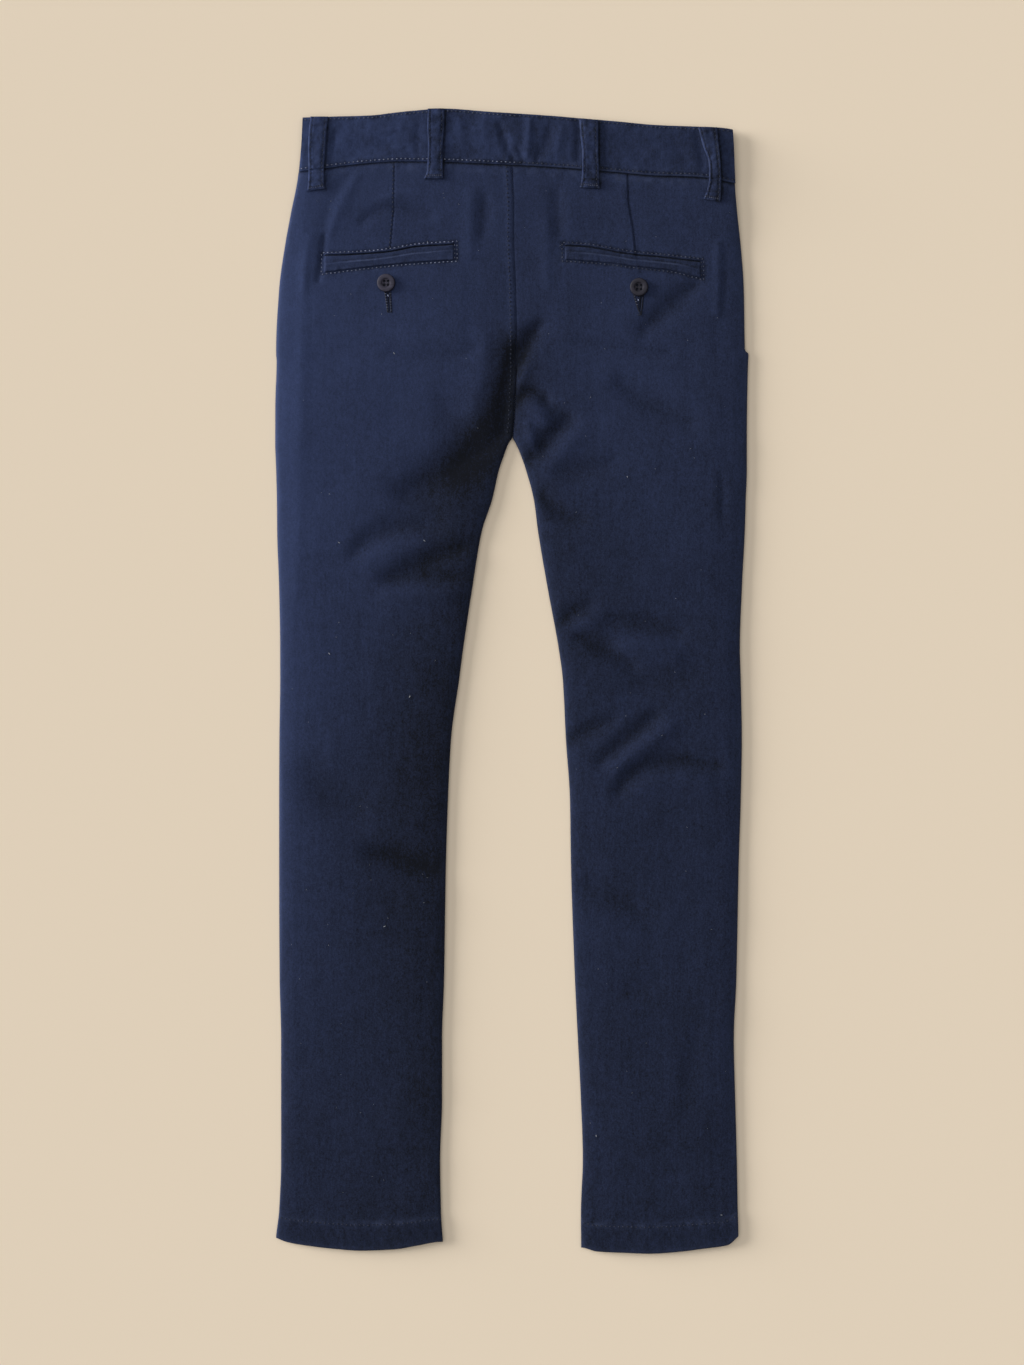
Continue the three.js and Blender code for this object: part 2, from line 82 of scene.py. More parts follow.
# The waistband across the garment: its top edge and the seam under it
WAIST = {
    "x": [-180, -160, -136, -109, -82, -50, -18, 28, 55, 82, 110, 137, 155, 164, 180],
    "top": [427.5, 428.3, 429, 429.8, 432.8, 435.1, 432.8, 429.8, 427.5, 425.2, 422.6, 421.6,
            420.9, 420, 416],
    "seam": [385, 387.2, 390.2, 393.3, 394.7, 394.3, 392.9, 390.7, 388.7, 386.4, 384, 383.2,
             381.5, 379.4, 377],
}

# The hem edge across each leg
HEM = {
    "x": [-180, -170, -155, -136, -114, -88, -72, -53, 54, 65, 82, 105, 128, 146, 164, 173],
    "foot": [-422.5, -426.4, -429, -431.3, -432.8, -431.7, -429, -426, -430.5, -433.4, -434.3,
             -435.1, -433.6, -431.3, -428.7, -421.5],
}

# How full the back stands over the front at each height
FULLNESS = {
    "y": [-436, -404, -330, -150, 60, 150, 260, 340, 372, 392],
    "rise": [1.2, 1.5, 2.6, 3.4, 3.8, 3.6, 3.2, 2.5, 1.7, 0.8],
}

# Folds of the back: start, bend, end, half width and height, where a trough is negative
FOLD_GAIN = 1.5
# How much painted shade darkens the bottom of a fold, for each millimetre of its depth
FOLD_SHADE = 0.065
FOLDS = [
    ((3, 250), (-2, 222), (-6, 188), 8, -1.7),
    ((-20, 262), (-24, 232), (-30, 205), 9, 0.6),
    ((-30, 184), (-44, 196), (-54, 214), 12, -0.7),
    ((-14, 180), (-48, 161), (-80, 143), 15, -1.9),
    ((-120, 98), (-98, 114), (-68, 118), 8.5, -1.5),
    ((-108, 92), (-88, 99), (-66, 104), 7, 0.5),
    ((-96, 79), (-65, 91), (-28, 105), 8, -1.5),
    ((-88, 77), (-62, 80), (-32, 79), 7, -1.1),
    ((-94, 66), (-66, 64), (-42, 68), 8, 0.8),
    ((-72, 146), (-62, 132), (-56, 118), 13, -0.7),
    ((-152, -72), (-140, -84), (-118, -94), 16, -0.9),
    ((-106, -130), (-84, -135), (-58, -143), 10, -1.5),
    ((11, 166), (25, 180), (41, 198), 7.5, -1.9),
    ((28, 160), (40, 175), (52, 186), 8, 0.6),
    ((12, 196), (15, 185), (19, 174), 4, 1.0),
    ((5, 213), (14, 220), (26, 215), 5.6, -1.6),
    ((26, 214), (35, 205), (46, 198), 7, -1.0),
    ((15, 207), (22, 202), (27, 196), 6, 0.8),
    ((21, 270), (14, 261), (6, 243), 6.5, -1.9),
    ((12, 239), (8, 230), (5, 220), 4, 0.8),
    ((24, 142), (35, 129), (52, 123), 7, -1.4),
    ((36, 44), (46, 52), (58, 57), 7, -1.2),
    ((38, 160), (56, 161), (78, 168), 9, -0.7),
    ((46, 40), (53, 43), (62, 44), 5, 0.7),
    ((52, 33), (72, 24), (92, 11), 7, -1.2),
    ((79, 47), (100, 44), (126, 37), 7.5, -1.1),
    ((86, 26), (105, 25), (124, 20), 8, 1.1),
    ((98, -1), (118, 0), (140, 3), 11, -0.8),
    ((46, -44), (60, -36), (76, -30), 7, -1.3),
    ((68, -60), (88, -44), (109, -26), 7, -1.4),
    ((80, -66), (100, -50), (120, -36), 8, 1.2),
    ((82, -83), (108, -62), (156, -65), 7, -1.4),
    ((98, -82), (120, -75), (146, -78), 7, 0.6),
    ((60, -155), (78, -163), (96, -174), 12, -0.9),
    ((84, -236), (95, -233), (106, -230), 16, -0.5),
    ((142, -262), (138, -290), (132, -322), 9, -0.5),
    ((-119, 374), (-129, 359), (-137, 341), 5.2, 0.6),
    ((-126, 376), (-136, 360), (-142, 345), 7, -0.35),
    ((-142.4, 338), (-144.4, 322), (-147.2, 304), 2.3, -1.1),
    ((-153, 336), (-156, 318), (-158, 298), 4, 0.5),
    ((-158, 340), (-161, 200), (-163, 70), 6, 0.45),
    ((-113, 346), (-102, 352), (-90, 354), 4.5, -0.75),
    ((-88, 353), (-78, 352), (-63, 349), 5, -0.9),
    ((-100, 359), (-80, 364), (-58, 362), 4, 0.35),
    ((-20, 361), (-21, 350), (-22, 338), 6, -0.9),
    ((-30, 364), (-31, 345), (-32, 322), 6, 0.5),
    ((27, 348), (27, 325), (28, 300), 5, 0.45),
    ((34, 366), (35, 353), (36, 339), 6, -0.8),
    ((163, 331), (163, 312), (162, 292), 3, -0.35),
    ((157, 334), (157, 310), (156, 280), 3.6, 0.7),
    ((101, 267), (119, 284), (139, 300), 8.5, -1.5),
    ((84, 226), (106, 211), (134, 197), 10, -1.2),
    ((-92, 250), (-60, 246), (-28, 252), 6, -0.5),
    ((52, 259), (84, 253), (120, 248), 6, -0.55),
    ((159, 158), (160, 142), (160, 124), 3, -0.5),
]

# Folds of the waistband, in the same columns
BAND_GAIN = 1.5
BAND_FOLDS = [
    ((-9, 424), (-5, 411), (1, 396), 3.2, -1.0),
    ((-20, 428), (-20, 414), (-19, 398), 6, 0.35),
    ((14, 426), (13, 413), (12, 399), 3.0, 0.8),
    ((4, 407), (6, 402), (8, 396), 2.0, -0.6),
    ((-1, 405), (-2, 400), (-2, 396), 1.8, 0.45),
    ((21, 404), (20, 400), (19, 395), 2.0, -0.5),
    ((29, 422), (27, 411), (23, 400), 4.0, -0.7),
    ((38, 420), (37, 412), (35, 403), 4.0, 0.5),
    ((51, 424), (51, 411), (50.5, 397), 3.4, -0.9),
    ((-52, 428), (-51, 415), (-50, 400), 3.0, -0.5),
    ((-40, 428), (-39, 418), (-38, 405), 4.0, 0.35),
    ((-70, 424), (-71, 412), (-71, 398), 3.0, -0.4),
    ((69, 420), (70, 408), (70, 394), 3.0, -0.5),
    ((141, 416), (143, 405), (146, 392), 3.0, -0.6),
    ((-117, 421), (-104, 417), (-84, 420), 3.5, 0.3),
    ((-120, 407), (-106, 406), (-92, 407), 4, -0.4),
    ((-134, 417), (-136, 410), (-137, 401), 2.4, -0.8),
    ((80, 412), (92, 407), (106, 405), 5, -0.3),
    ((122, 410), (127, 404), (133, 396), 4, -0.3),
]

# Belt loops on the back: both edges from foot to head, how far the foot slants and how far the
# fourth one turns on edge half way
LOOP_HEIGHTS = [0, 0.1, 0.3, 0.5, 0.75, 1]
BACK_LOOPS = [
    dict(name="belt_loop_1", v=LOOP_HEIGHTS, foot=373, turn=0, slant=2.4,
         left=[-155.2, -154.4, -154.0, -154.4, -154.0, -152.6],
         right=[-141.4, -142.0, -142.2, -141.2, -140.4, -139.2]),
    dict(name="belt_loop_2", v=LOOP_HEIGHTS, foot=381.5, turn=0, slant=0.4,
         left=[-66.5, -64.3, -63.6, -63.4, -63.9, -63.5],
         right=[-51.6, -52.0, -52.2, -52.0, -51.0, -50.9]),
    dict(name="belt_loop_3", v=LOOP_HEIGHTS, foot=374.5, turn=0, slant=-0.9,
         left=[51.8, 53.0, 53.6, 53.6, 52.4, 51.4],
         right=[66.8, 66.6, 66.4, 65.9, 65.9, 66.0]),
    dict(name="belt_loop_4", v=LOOP_HEIGHTS, foot=365, turn=8, slant=-2.6,
         left=[145.6, 147.9, 149.9, 149.6, 145.2, 141.6],
         right=[158.3, 158.8, 159.2, 158.6, 157.2, 156.2]),
]
FRONT_LOOPS = {"belt_loop_5": -88.0, "belt_loop_6": 88.0}
LOOP_THICK = 1.2
LOOP_BOW = 1.3
FRONT_LOOP_WIDTH = 12.0
FRONT_LOOP_DROP = 8.0

# Welt pockets: the mouth and the lower stitch line at some places across
WELTS = {
    "welt_left": {
        "x": [-144.3, -117, -92.3, -73.3, -41.4],
        "mouth": [323.4, 324.3, 326.4, 329.9, 332],
        "foot": [309.2, 312.6, 315.4, 317.2, 319.1],
    },
    "welt_right": {
        "x": [38.5, 58.1, 78.7, 95.2, 119.7, 146],
        "mouth": [331, 330, 326.3, 323.8, 321.6, 318.4],
        "foot": [319.4, 318, 316.2, 313.9, 311.4, 305],
    },
}
WELT_THICK = 0.9
POCKET_BUTTONS = {"back_button_left": (-94.8, 302.2), "back_button_right": (97.2, 299.0)}
DARTS = [
    [(-88.9, 392.5), (-89.3, 358.3), (-92, 328.5)],
    [(88.2, 384.5), (88.9, 364), (92.7, 343), (94.3, 327)],
]


def ramp(value, start, end):
    t = np.clip((np.asarray(value, float) - start) / (end - start), 0, 1)
    return t * t * (3 - 2 * t)


def mix(a, b, t):
    return a + (b - a) * t


def along(table, key, column, at):
    """A smooth curve through one column of a table, without overshoot."""
    keys = np.array(table[key], float)
    values = np.array(table[column], float)
    spans = np.diff(keys)
    slopes = np.diff(values) / spans
    before = np.concatenate([slopes[:1], slopes])
    after = np.concatenate([slopes, slopes[-1:]])
    total = np.where(before + after == 0, 1, before + after)
    tangents = np.where(before * after <= 0, 0, 2 * before * after / total)
    place = np.clip(np.asarray(at, float), keys[0], keys[-1])
    i = np.clip(np.searchsorted(keys, place) - 1, 0, len(keys) - 2)
    t = (place - keys[i]) / spans[i]
    rise = t * t * (3 - 2 * t)
    pull = t * (1 - t) ** 2 * tangents[i] - t * t * (1 - t) * tangents[i + 1]
    return mix(values[i], values[i + 1], rise) + spans[i] * pull


def bow_points(start, bend, end, steps):
    """Points on a curve that passes through its bend half way."""
    a, b, c = (np.array(p, float) for p in (start, bend, end))
    control = 2 * b - (a + c) / 2
    t = np.linspace(0, 1, steps + 1)[:, None]
    return (1 - t) ** 2 * a + 2 * t * (1 - t) * control + t * t * c


def distance_to(points, x, y):
    """Distance from each place to a line of points, its signed side, and how far along it is."""
    best = np.full(np.shape(x), np.inf)
    side = np.zeros(np.shape(x))
    share = np.zeros(np.shape(x))
    count = len(points) - 1
    for i in range(count):
        ax, ay = points[i]
        bx, by = points[i + 1]
        dx = bx - ax
        dy = by - ay
        length2 = dx * dx + dy * dy
        t = np.clip(((x - ax) * dx + (y - ay) * dy) / length2, 0, 1)
        away = np.hypot(x - ax - t * dx, y - ay - t * dy)
        cross = (dx * (y - ay) - dy * (x - ax)) / math.sqrt(length2)
        nearer = away < best
        best = np.where(nearer, away, best)
        side = np.where(nearer, cross, side)
        share = np.where(nearer, (i + t) / count, share)
    return best, side, share


def fold_height(table, x, y):
    total = np.zeros(np.shape(x))
    for start, bend, end, half, height in table:
        line = bow_points(start, bend, end, 12)
        reach = 3.2 * half
        low = line.min(0) - reach
        high = line.max(0) + reach
        near = (x > low[0]) & (x < high[0]) & (y > low[1]) & (y < high[1])
        if not near.any():
            continue
        away, _, share = distance_to(line, x[near], y[near])
        ends = 0.35 * (1 - np.sin(np.pi * share))
        total[near] += height * np.exp(-(away / half + ends) ** 2)
    return total


def value_noise(x, y, size, seed):
    """Smooth noise between -1 and 1 with bumps of the given size."""
    rng = np.random.default_rng(seed)
    grid = rng.uniform(-1, 1, (256, 256))
    u = x / size + 700.0
    v = y / size + 700.0
    i = np.floor(u).astype(int)
    j = np.floor(v).astype(int)
    s = u - i
    t = v - j
    s = s * s * (3 - 2 * s)
    t = t * t * (3 - 2 * t)
    a = grid[i % 256, j % 256]
    b = grid[(i + 1) % 256, j % 256]
    c = grid[i % 256, (j + 1) % 256]
    d = grid[(i + 1) % 256, (j + 1) % 256]
    return mix(mix(a, b, s), mix(c, d, s), t)


def bell(value, width):
    """1 at zero and falling away on both sides."""
    return np.exp(-(value / width) ** 2)


def seam_at(x):
    """Height of the waist seam."""
    return along(WAIST, "x", "seam", x)


def top_at(x):
    """Height of the waistband's top edge."""
    return along(WAIST, "x", "top", x)


def outer_edge(side, y):
    return along(EDGES, "y", "outer_" + side, y)


def inner_edge(side, y):
    """The inner leg seam, or above the crotch the centre seam, which both sides share."""
    own = along(EDGES, "y", "inner_" + side, y)
    shared = along(EDGES, "y", "inner_left", y)
    return np.where(np.asarray(y) > CROTCH, shared, own)


def quarter_round(distance, reach):
    """How far a rounded edge has come up: 0 at the edge and 1 from its reach on."""
    return np.sqrt(1 - (1 - np.clip(distance / reach, 0, 1)) ** 2)


def lift_at(y):
    return BAND_LIFT * ramp(y, LIFT_START, LIFT_END)


def hem_at(y):
    return HEM_FOLD * (1 - ramp(y, HEM_CORNER + HEM_DEPTH - 0.6, HEM_CORNER + HEM_DEPTH + 0.9))


def front_top(y):
    return FRONT_WALL + lift_at(y) + hem_at(y)


def bend_shift(x, y):
    """How far a section moves to follow the waist seam at the top and the hem at the foot."""
    to_waist = ramp(y, WAIST_SEAM - 70, WAIST_SEAM)
    to_hem = 1 - ramp(y, HEM_CORNER, HEM_CORNER + 45)
    waist_shift = seam_at(x) - SEAM_GAP / 2 - WAIST_SEAM
    hem_shift = along(HEM, "x", "foot", x) - HEM_CORNER
    return to_waist * waist_shift + to_hem * hem_shift


def section_of(x, y):
    """The section that passes through a true place."""
    section = np.array(y, float)
    for _ in range(6):
        section = y - bend_shift(x, section)
    return section


def side_of(x, section):
    return x < inner_edge("left", np.maximum(section, CROTCH))


def edge_distances(x, section):
    left = side_of(x, section)
    outer = np.where(left, outer_edge("left", section), outer_edge("right", section))
    inner = np.where(left, inner_edge("left", section), inner_edge("right", section))
    return np.abs(x - outer), np.abs(x - inner), left


def stitch_groove(line, x, y, half=0.9, depth=0.34):
    low = np.min(line, axis=0) - 4
    high = np.max(line, axis=0) + 4
    near = (x > low[0]) & (x < high[0]) & (y > low[1]) & (y < high[1])
    out = np.zeros(np.shape(x))
    if near.any():
        away, _, _ = distance_to(line, x[near], y[near])
        out[near] = -depth * bell(away, half)
    return out


def frame_line(name):
    """The stitched frame round a welt, as a closed line."""
    table = WELTS[name]
    x0 = table["x"][0]
    x1 = table["x"][-1]
    xs = np.linspace(x0, x1, 14)
    over = np.stack([xs, along(table, "x", "mouth", xs) + 2.4], 1)
    under = np.stack([xs, along(table, "x", "foot", xs)], 1)[::-1]
    return np.concatenate([over, under, over[:1]])


def back_detail(x, y, section, to_outer, to_inner, left):
    """Seams, darts, hems, pocket edges and small unevenness on the back panels."""
    above = y > CROTCH
    # seam allowances pressed to the side seam and the inner leg seam
    out = 0.2 * (1 - ramp(to_outer, 10, 16))
    out += np.where(above, 0, 0.18 * (1 - ramp(to_inner, 8, 13)))
    # the centre seam: a lapped ridge on the left, closed by its topstitching
    lap = np.where(left, 1 - ramp(to_inner, 4.4, 5.6), 0)
    out += np.where(above, 0.42 * lap * ramp(y, CROTCH - 2, CROTCH + 6), 0)
    out -= np.where(above, 0.5 * bell(to_inner, 0.9), 0)
    # darts: the cloth steps down on the side away from the centre
    for dart in DARTS:
        away, cross, _ = distance_to(np.array(dart), x, y)
        beside = bell(away, 7)
        out += (0.08 if dart[0][0] < 0 else -0.3) * beside * np.tanh(cross / 0.7)
        out -= 0.55 * bell(away, 0.65)
    # the pocket bags press through below the welts
    for name, foot in (("welt_left", 256.0), ("welt_right", 252.0)):
        table = WELTS[name]
        x0 = table["x"][0] - 6
        x1 = table["x"][-1] + 6
        tilt = (x - (x0 + x1) / 2) * (0.03 if name == "welt_left" else -0.11)
        inside = np.minimum(np.minimum(x - x0, x1 - x), y - foot - tilt)
        top = 1 - ramp(y, 318, 326)
        out += 0.22 * ramp(inside, -2.2, 2.2) * top
    # the mouth of each welt pocket is a slit under its upper edge
    for name, table in WELTS.items():
        within = (x > table["x"][0]) & (x < table["x"][-1])
        from_mouth = y - along(table, "x", "mouth", x)
        out -= np.where(within, 0.9 * bell(from_mouth - 0.3, 0.7), 0)
        line = frame_line(name)
        out += stitch_groove(line, x, y)
        away, _, _ = distance_to(line, x, y)
        pucker = value_noise(x, y, 3.4, 11) + 0.5 * value_noise(x, y, 2.1, 12)
        out += 0.26 * pucker * bell(away, 4.5)
    # the hem's stitch line, its fold edge and the slanting pull between them
    from_hem = section - HEM_CORNER
    out -= 0.3 * bell(from_hem - HEM_DEPTH + 2, 1.0)
    rope = np.sin((x + 0.55 * from_hem) * 2 * np.pi / 8.5 + 2.2 * value_noise(x, y, 22, 5))
    out += 0.07 * rope * ramp(from_hem, -1, 4) * (1 - ramp(from_hem, HEM_DEPTH - 4, HEM_DEPTH + 3))
    # the panel dips under the waistband's edge
    out -= 0.8 * bell(WAIST_SEAM - section, 1.2)
    # puckers along the waist seam, the centre seam and the side seams
    from_waist = WAIST_SEAM - section
    pull = value_noise(x, y * 0.45, 4.2, 21) + 0.5 * value_noise(x, y * 0.6, 2.4, 22)
    out += 0.32 * pull * np.exp(-from_waist / 8)
    tug = value_noise(x * 0.4, y, 4.4, 23) + 0.5 * value_noise(x * 0.5, y, 2.6, 24)
    out += 0.24 * tug * np.exp(-to_inner / 5.5)
    out += 0.26 * tug * np.exp(-to_outer / 6)
    # soft unevenness all over
    out += 0.34 * value_noise(x * 0.8, y * 0.8, 34, 31) + 0.20 * value_noise(x, y, 15, 32)
    out += 0.07 * value_noise(x, y, 6, 33)
    return out


def back_level(x, section, y=None):
    """Height of the back panels' outer face."""
    if y is None:
        y = section + bend_shift(x, section)
    to_outer, to_inner, left = edge_distances(x, section)
    seat = ramp(section, CROTCH - 4, CROTCH + SEAT_BLEND)
    rim = quarter_round(to_outer, EDGE_ROUND) * mix(quarter_round(to_inner, EDGE_ROUND), 1.0, seat)
    folds = FOLD_GAIN * fold_height(FOLDS, x, section)
    rise = rim * (along(FULLNESS, "y", "rise", section) + folds)
    detail = back_detail(x, y, section, to_outer, to_inner, left)
    detail *= ramp(to_outer, 0, 2.5) * np.where(section > CROTCH, 1, ramp(to_inner, 0, 2.5))
    puff = np.maximum(rise, 0) + detail
    soft = np.where(puff < 0.6, 0.6 * np.exp((puff - 0.6) / 0.6), puff)
    edge = np.minimum(to_outer, np.where(section > CROTCH, 99, to_inner))
    edge = np.minimum(edge, np.maximum(section - HEM_CORNER, 0))
    rounded = 0.45 * BACK_WALL * (1 - quarter_round(edge, 1.6))
    soft = soft * (1 - 0.999 * bell(edge, 0.5))
    return front_top(section) + SEAM_GAP + soft + BACK_WALL + hem_at(section) - rounded


def band_level(x, y):
    """Height of the back waistband's outer face."""
    seam = seam_at(x)
    top = top_at(x)
    out = BAND_LIFT + 2 * BAND_WALL + SEAM_GAP
    out = out + BAND_GAIN * fold_height(BAND_FOLDS, x, y) + 0.15 * value_noise(x, y * 0.8, 4, 45)
    out += 0.22 * value_noise(x, y * 0.6, 19, 41) + 0.12 * value_noise(x, y * 0.7, 8, 42)
    tug = value_noise(x, y * 0.4, 4.0, 43) + 0.5 * value_noise(x, y * 0.5, 2.3, 44)
    out += 0.22 * tug * (np.exp(-np.abs(y - seam - 2) / 5) + np.exp(-np.abs(top - 1.9 - y) / 4))
    out -= 0.25 * bell(y - seam - 2.0, 0.9)
    out -= 0.18 * bell(top - 1.9 - y, 0.8)
    edge = np.minimum(top - y, y - seam)
    left = outer_edge("left", 408.0)
    right = outer_edge("right", 398.0)
    edge = np.minimum(edge, np.minimum(x - left, right - x) + 0.8)
    rounded = 0.5 * BAND_WALL * (1 - quarter_round(edge, 1.8))
    return out - rounded


def surface(x, y):
    """Height of the uppermost cloth of the back at true places."""
    x = np.asarray(x, float)
    y = np.asarray(y, float)
    seam = seam_at(x)
    top = top_at(x)
    on_band = band_level(x, np.clip(y, seam + 0.2, top - 0.2))
    below = np.minimum(y, seam - 0.2)
    section = section_of(x, below)
    on_panel = back_level(x, section, below)
    return mix(on_panel, on_band, ramp(y, seam - 0.4, seam + 0.4))


def new_object(name, vertices, faces, material):
    mesh = bpy.data.meshes.new(name)
    mesh.from_pydata([tuple(v) for v in vertices], [], [tuple(f) for f in faces])
    mesh.validate()
    mesh.update()
    mesh.shade_smooth()
    obj = bpy.data.objects.new(name, mesh)
    bpy.context.scene.collection.objects.link(obj)
    mesh.materials.append(material)
    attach(obj, "root")
    return obj


def shell_arrays(x, y, low, high):
    """Vertices and faces of one closed body between two faces on a grid."""
    rows, columns = x.shape
    top = np.stack([x, y, high], -1).reshape(-1, 3)
    bottom = np.stack([x, y, low], -1).reshape(-1, 3)
    vertices = np.concatenate([top, bottom]) * MM
    index = np.arange(rows * columns).reshape(rows, columns)
    under = index + rows * columns

    def quads(a, b, c, d):
        return np.stack([a.ravel(), b.ravel(), c.ravel(), d.ravel()], 1)

    parts = [
        quads(index[:-1, :-1], index[:-1, 1:], index[1:, 1:], index[1:, :-1]),
        quads(under[:-1, :-1], under[1:, :-1], under[1:, 1:], under[:-1, 1:]),
        quads(under[0, :-1], under[0, 1:], index[0, 1:], index[0, :-1]),
        quads(index[-1, :-1], index[-1, 1:], under[-1, 1:], under[-1, :-1]),
        quads(index[:-1, 0], index[1:, 0], under[1:, 0], under[:-1, 0]),
        quads(under[:-1, -1], under[1:, -1], index[1:, -1], index[:-1, -1]),
    ]
    return vertices, np.concatenate(parts)


def cloth_shell(name, x, y, low, high, material, wear_and_highlight=0.0, shade_and_mottle=0.0):
    vertices, faces = shell_arrays(x, y, low, high)
    obj = new_object(name, vertices, faces, material)
    obj.data.set_sharp_from_angle(angle=math.radians(55))
    paint_cloth(obj, wear_and_highlight, shade_and_mottle)
    return obj


def principled(name):
    material = bpy.data.materials.new(name)
    material.use_nodes = True
    nodes = material.node_tree.nodes
    return material, nodes, material.node_tree.links, nodes["Principled BSDF"]


def add_node(nodes, kind, **settings):
    node = nodes.new(kind)
    for key, value in settings.items():
        setattr(node, key, value)
    return node


def noise_node(nodes, links, vector, scale, detail=2.0, rough=0.5):
    noise = add_node(nodes, "ShaderNodeTexNoise")
    noise.inputs["Scale"].default_value = scale
    noise.inputs["Detail"].default_value = detail
    noise.inputs["Roughness"].default_value = rough
    links.new(vector, noise.inputs["Vector"])
    return noise.outputs["Fac"]


def math_node(nodes, links, operation, a, b):
    node = add_node(nodes, "ShaderNodeMath", operation=operation)
    for socket, value in zip(node.inputs, (a, b)):
        if isinstance(value, (int, float)):
            socket.default_value = value
        else:
            links.new(value, socket)
    return node.outputs[0]


def object_place(nodes):
    return add_node(nodes, "ShaderNodeTexCoord").outputs["Object"]


def painted(nodes, name):
    """A value that the mesh carries at its points."""
    return add_node(nodes, "ShaderNodeAttribute", attribute_name=name).outputs["Fac"]


def blend(nodes, links, factor, first, second):
    """A colour that runs from the first to the second as its factor goes from 0 to 1."""
    node = add_node(nodes, "ShaderNodeMix", data_type="RGBA")
    for socket, value in (("A", first), ("B", second)):
        if isinstance(value, tuple):
            node.inputs[socket].default_value = value
        else:
            links.new(value, node.inputs[socket])
    links.new(factor, node.inputs["Factor"])
    return node.outputs["Result"]


def bump(nodes, links, shader, height, strength, distance):
    node = add_node(nodes, "ShaderNodeBump")
    node.inputs["Strength"].default_value = strength
    node.inputs["Distance"].default_value = distance
    links.new(height, node.inputs["Height"])
    links.new(node.outputs["Normal"], shader.inputs["Normal"])


def turned(nodes, links, vector, angle, stretch=(1, 1, 1)):
    mapping = add_node(nodes, "ShaderNodeMapping")
    mapping.inputs["Rotation"].default_value = (0, 0, math.radians(angle))
    mapping.inputs["Scale"].default_value = stretch
    links.new(vector, mapping.inputs["Vector"])
    return mapping.outputs["Vector"]


def wave_node(nodes, links, vector, pitch, distortion=0.6):
    """Bands across X, one every pitch metres."""
    wave = add_node(nodes, "ShaderNodeTexWave", bands_direction="X")
    wave.inputs["Scale"].default_value = math.pi / 10 / pitch
    wave.inputs["Distortion"].default_value = distortion
    wave.inputs["Detail"].default_value = 1.0
    wave.inputs["Detail Scale"].default_value = 2.0
    links.new(vector, wave.inputs["Vector"])
    return wave.outputs["Fac"]


# Colour of the twill from its deepest to its palest, the colour it takes where rubbed and where painted
# with highlight, and the pitch of its ribs in metres
TWILL_DEEP = (0.0042, 0.0053, 0.0088, 1)
TWILL_PALE = (0.0330, 0.0486, 0.1195, 1)
TWILL_WEAR_AND_HIGHLIGHT = (0.060, 0.078, 0.150, 1)
TWILL_PITCH = 0.00062
# Size of each kind of unevenness in the dye, as noise scale, stretch along the leg and strength
DYE_NOISES = [
    (1150, 1.0, 0.62),
    (700, 0.55, 0.46),
    (400, 0.07, 0.16),
    (190, 0.7, 0.18),
    (80, 0.7, 0.13),
    (17, 0.8, 0.16),
]


def twill_material(name, angle=0.0):
    """Navy cotton twill: fine diagonal ribs, heathered uneven dye under painted light and shade, rubbed
    wear with painted highlight, and a soft brushed face.
    """
    material, nodes, links, shader = principled(name)
    place = object_place(nodes)
    ribs = wave_node(nodes, links, turned(nodes, links, place, 32 + angle), TWILL_PITCH)
    yarn = wave_node(nodes, links, turned(nodes, links, place, 90 + angle), TWILL_PITCH * 0.8, 1.2)
    fleck = noise_node(nodes, links, turned(nodes, links, place, angle, (1, 0.35, 1)), 1500, 2)
    tone = painted(nodes, "tone_and_light")
    for scale, stretch, strength in DYE_NOISES:
        spread = turned(nodes, links, place, angle, (1, stretch, 1))
        noise = noise_node(nodes, links, spread, scale, 2, 0.6)
        centred = math_node(nodes, links, "SUBTRACT", noise, 0.5)
        part = math_node(nodes, links, "MULTIPLY", centred, strength)
        tone = math_node(nodes, links, "ADD", tone, part)
    colour = blend(nodes, links, tone, TWILL_DEEP, TWILL_PALE)
    flecked = math_node(nodes, links, "ADD", fleck, 0.2)
    wear_and_highlight_mix = math_node(nodes, links, "MULTIPLY", painted(nodes, "wear_and_highlight"), flecked)
    colour = blend(nodes, links, wear_and_highlight_mix, colour, TWILL_WEAR_AND_HIGHLIGHT)
    links.new(colour, shader.inputs["Base Color"])

    weave = math_node(nodes, links, "ADD", ribs, math_node(nodes, links, "MULTIPLY", yarn, 0.4))
    weave = math_node(nodes, links, "ADD", weave, math_node(nodes, links, "MULTIPLY", fleck, 0.8))
    bump(nodes, links, shader, weave, 0.45, 0.00012)
    shader.inputs["Roughness"].default_value = 0.92
    shader.inputs["Specular IOR Level"].default_value = 0.10
    shader.inputs["Sheen Weight"].default_value = 0.03
    shader.inputs["Sheen Roughness"].default_value = 0.5
    shader.inputs["Sheen Tint"].default_value = (0.5, 0.6, 1.0, 1)
    return material


# The darkest and the palest colour of each other material
THREAD_DEEP = (0.006, 0.008, 0.017, 1)
THREAD_PALE = (0.220, 0.250, 0.370, 1)
HORN_DEEP = (0.005, 0.005, 0.008, 1)
HORN_PALE = (0.066, 0.062, 0.098, 1)
LINT_DULL = (0.12, 0.14, 0.18, 1)
LINT_BRIGHT = (0.42, 0.44, 0.46, 1)
TAPE_DEEP = (0.008, 0.011, 0.022, 1)
TAPE_PALE = (0.018, 0.024, 0.045, 1)


def thread_material():
    """Twisted sewing thread, paler where its shade attribute says so: rubbed thread, painted light on the
    left side's rows and painted shadow on a buttonhole's edges.
    """
    material, nodes, links, shader = principled("thread_navy")
    place = object_place(nodes)
    twist = wave_node(nodes, links, turned(nodes, links, place, 40), 0.00035)
    strength = math_node(nodes, links, "ADD", math_node(nodes, links, "MULTIPLY", twist, 0.5), 0.75)
    shade = math_node(nodes, links, "MULTIPLY", painted(nodes, "shade"), strength)
    links.new(blend(nodes, links, shade, THREAD_DEEP, THREAD_PALE), shader.inputs["Base Color"])
    bump(nodes, links, shader, twist, 0.4, 0.0001)
    shader.inputs["Roughness"].default_value = 0.65
    shader.inputs["Specular IOR Level"].default_value = 0.2
    return material


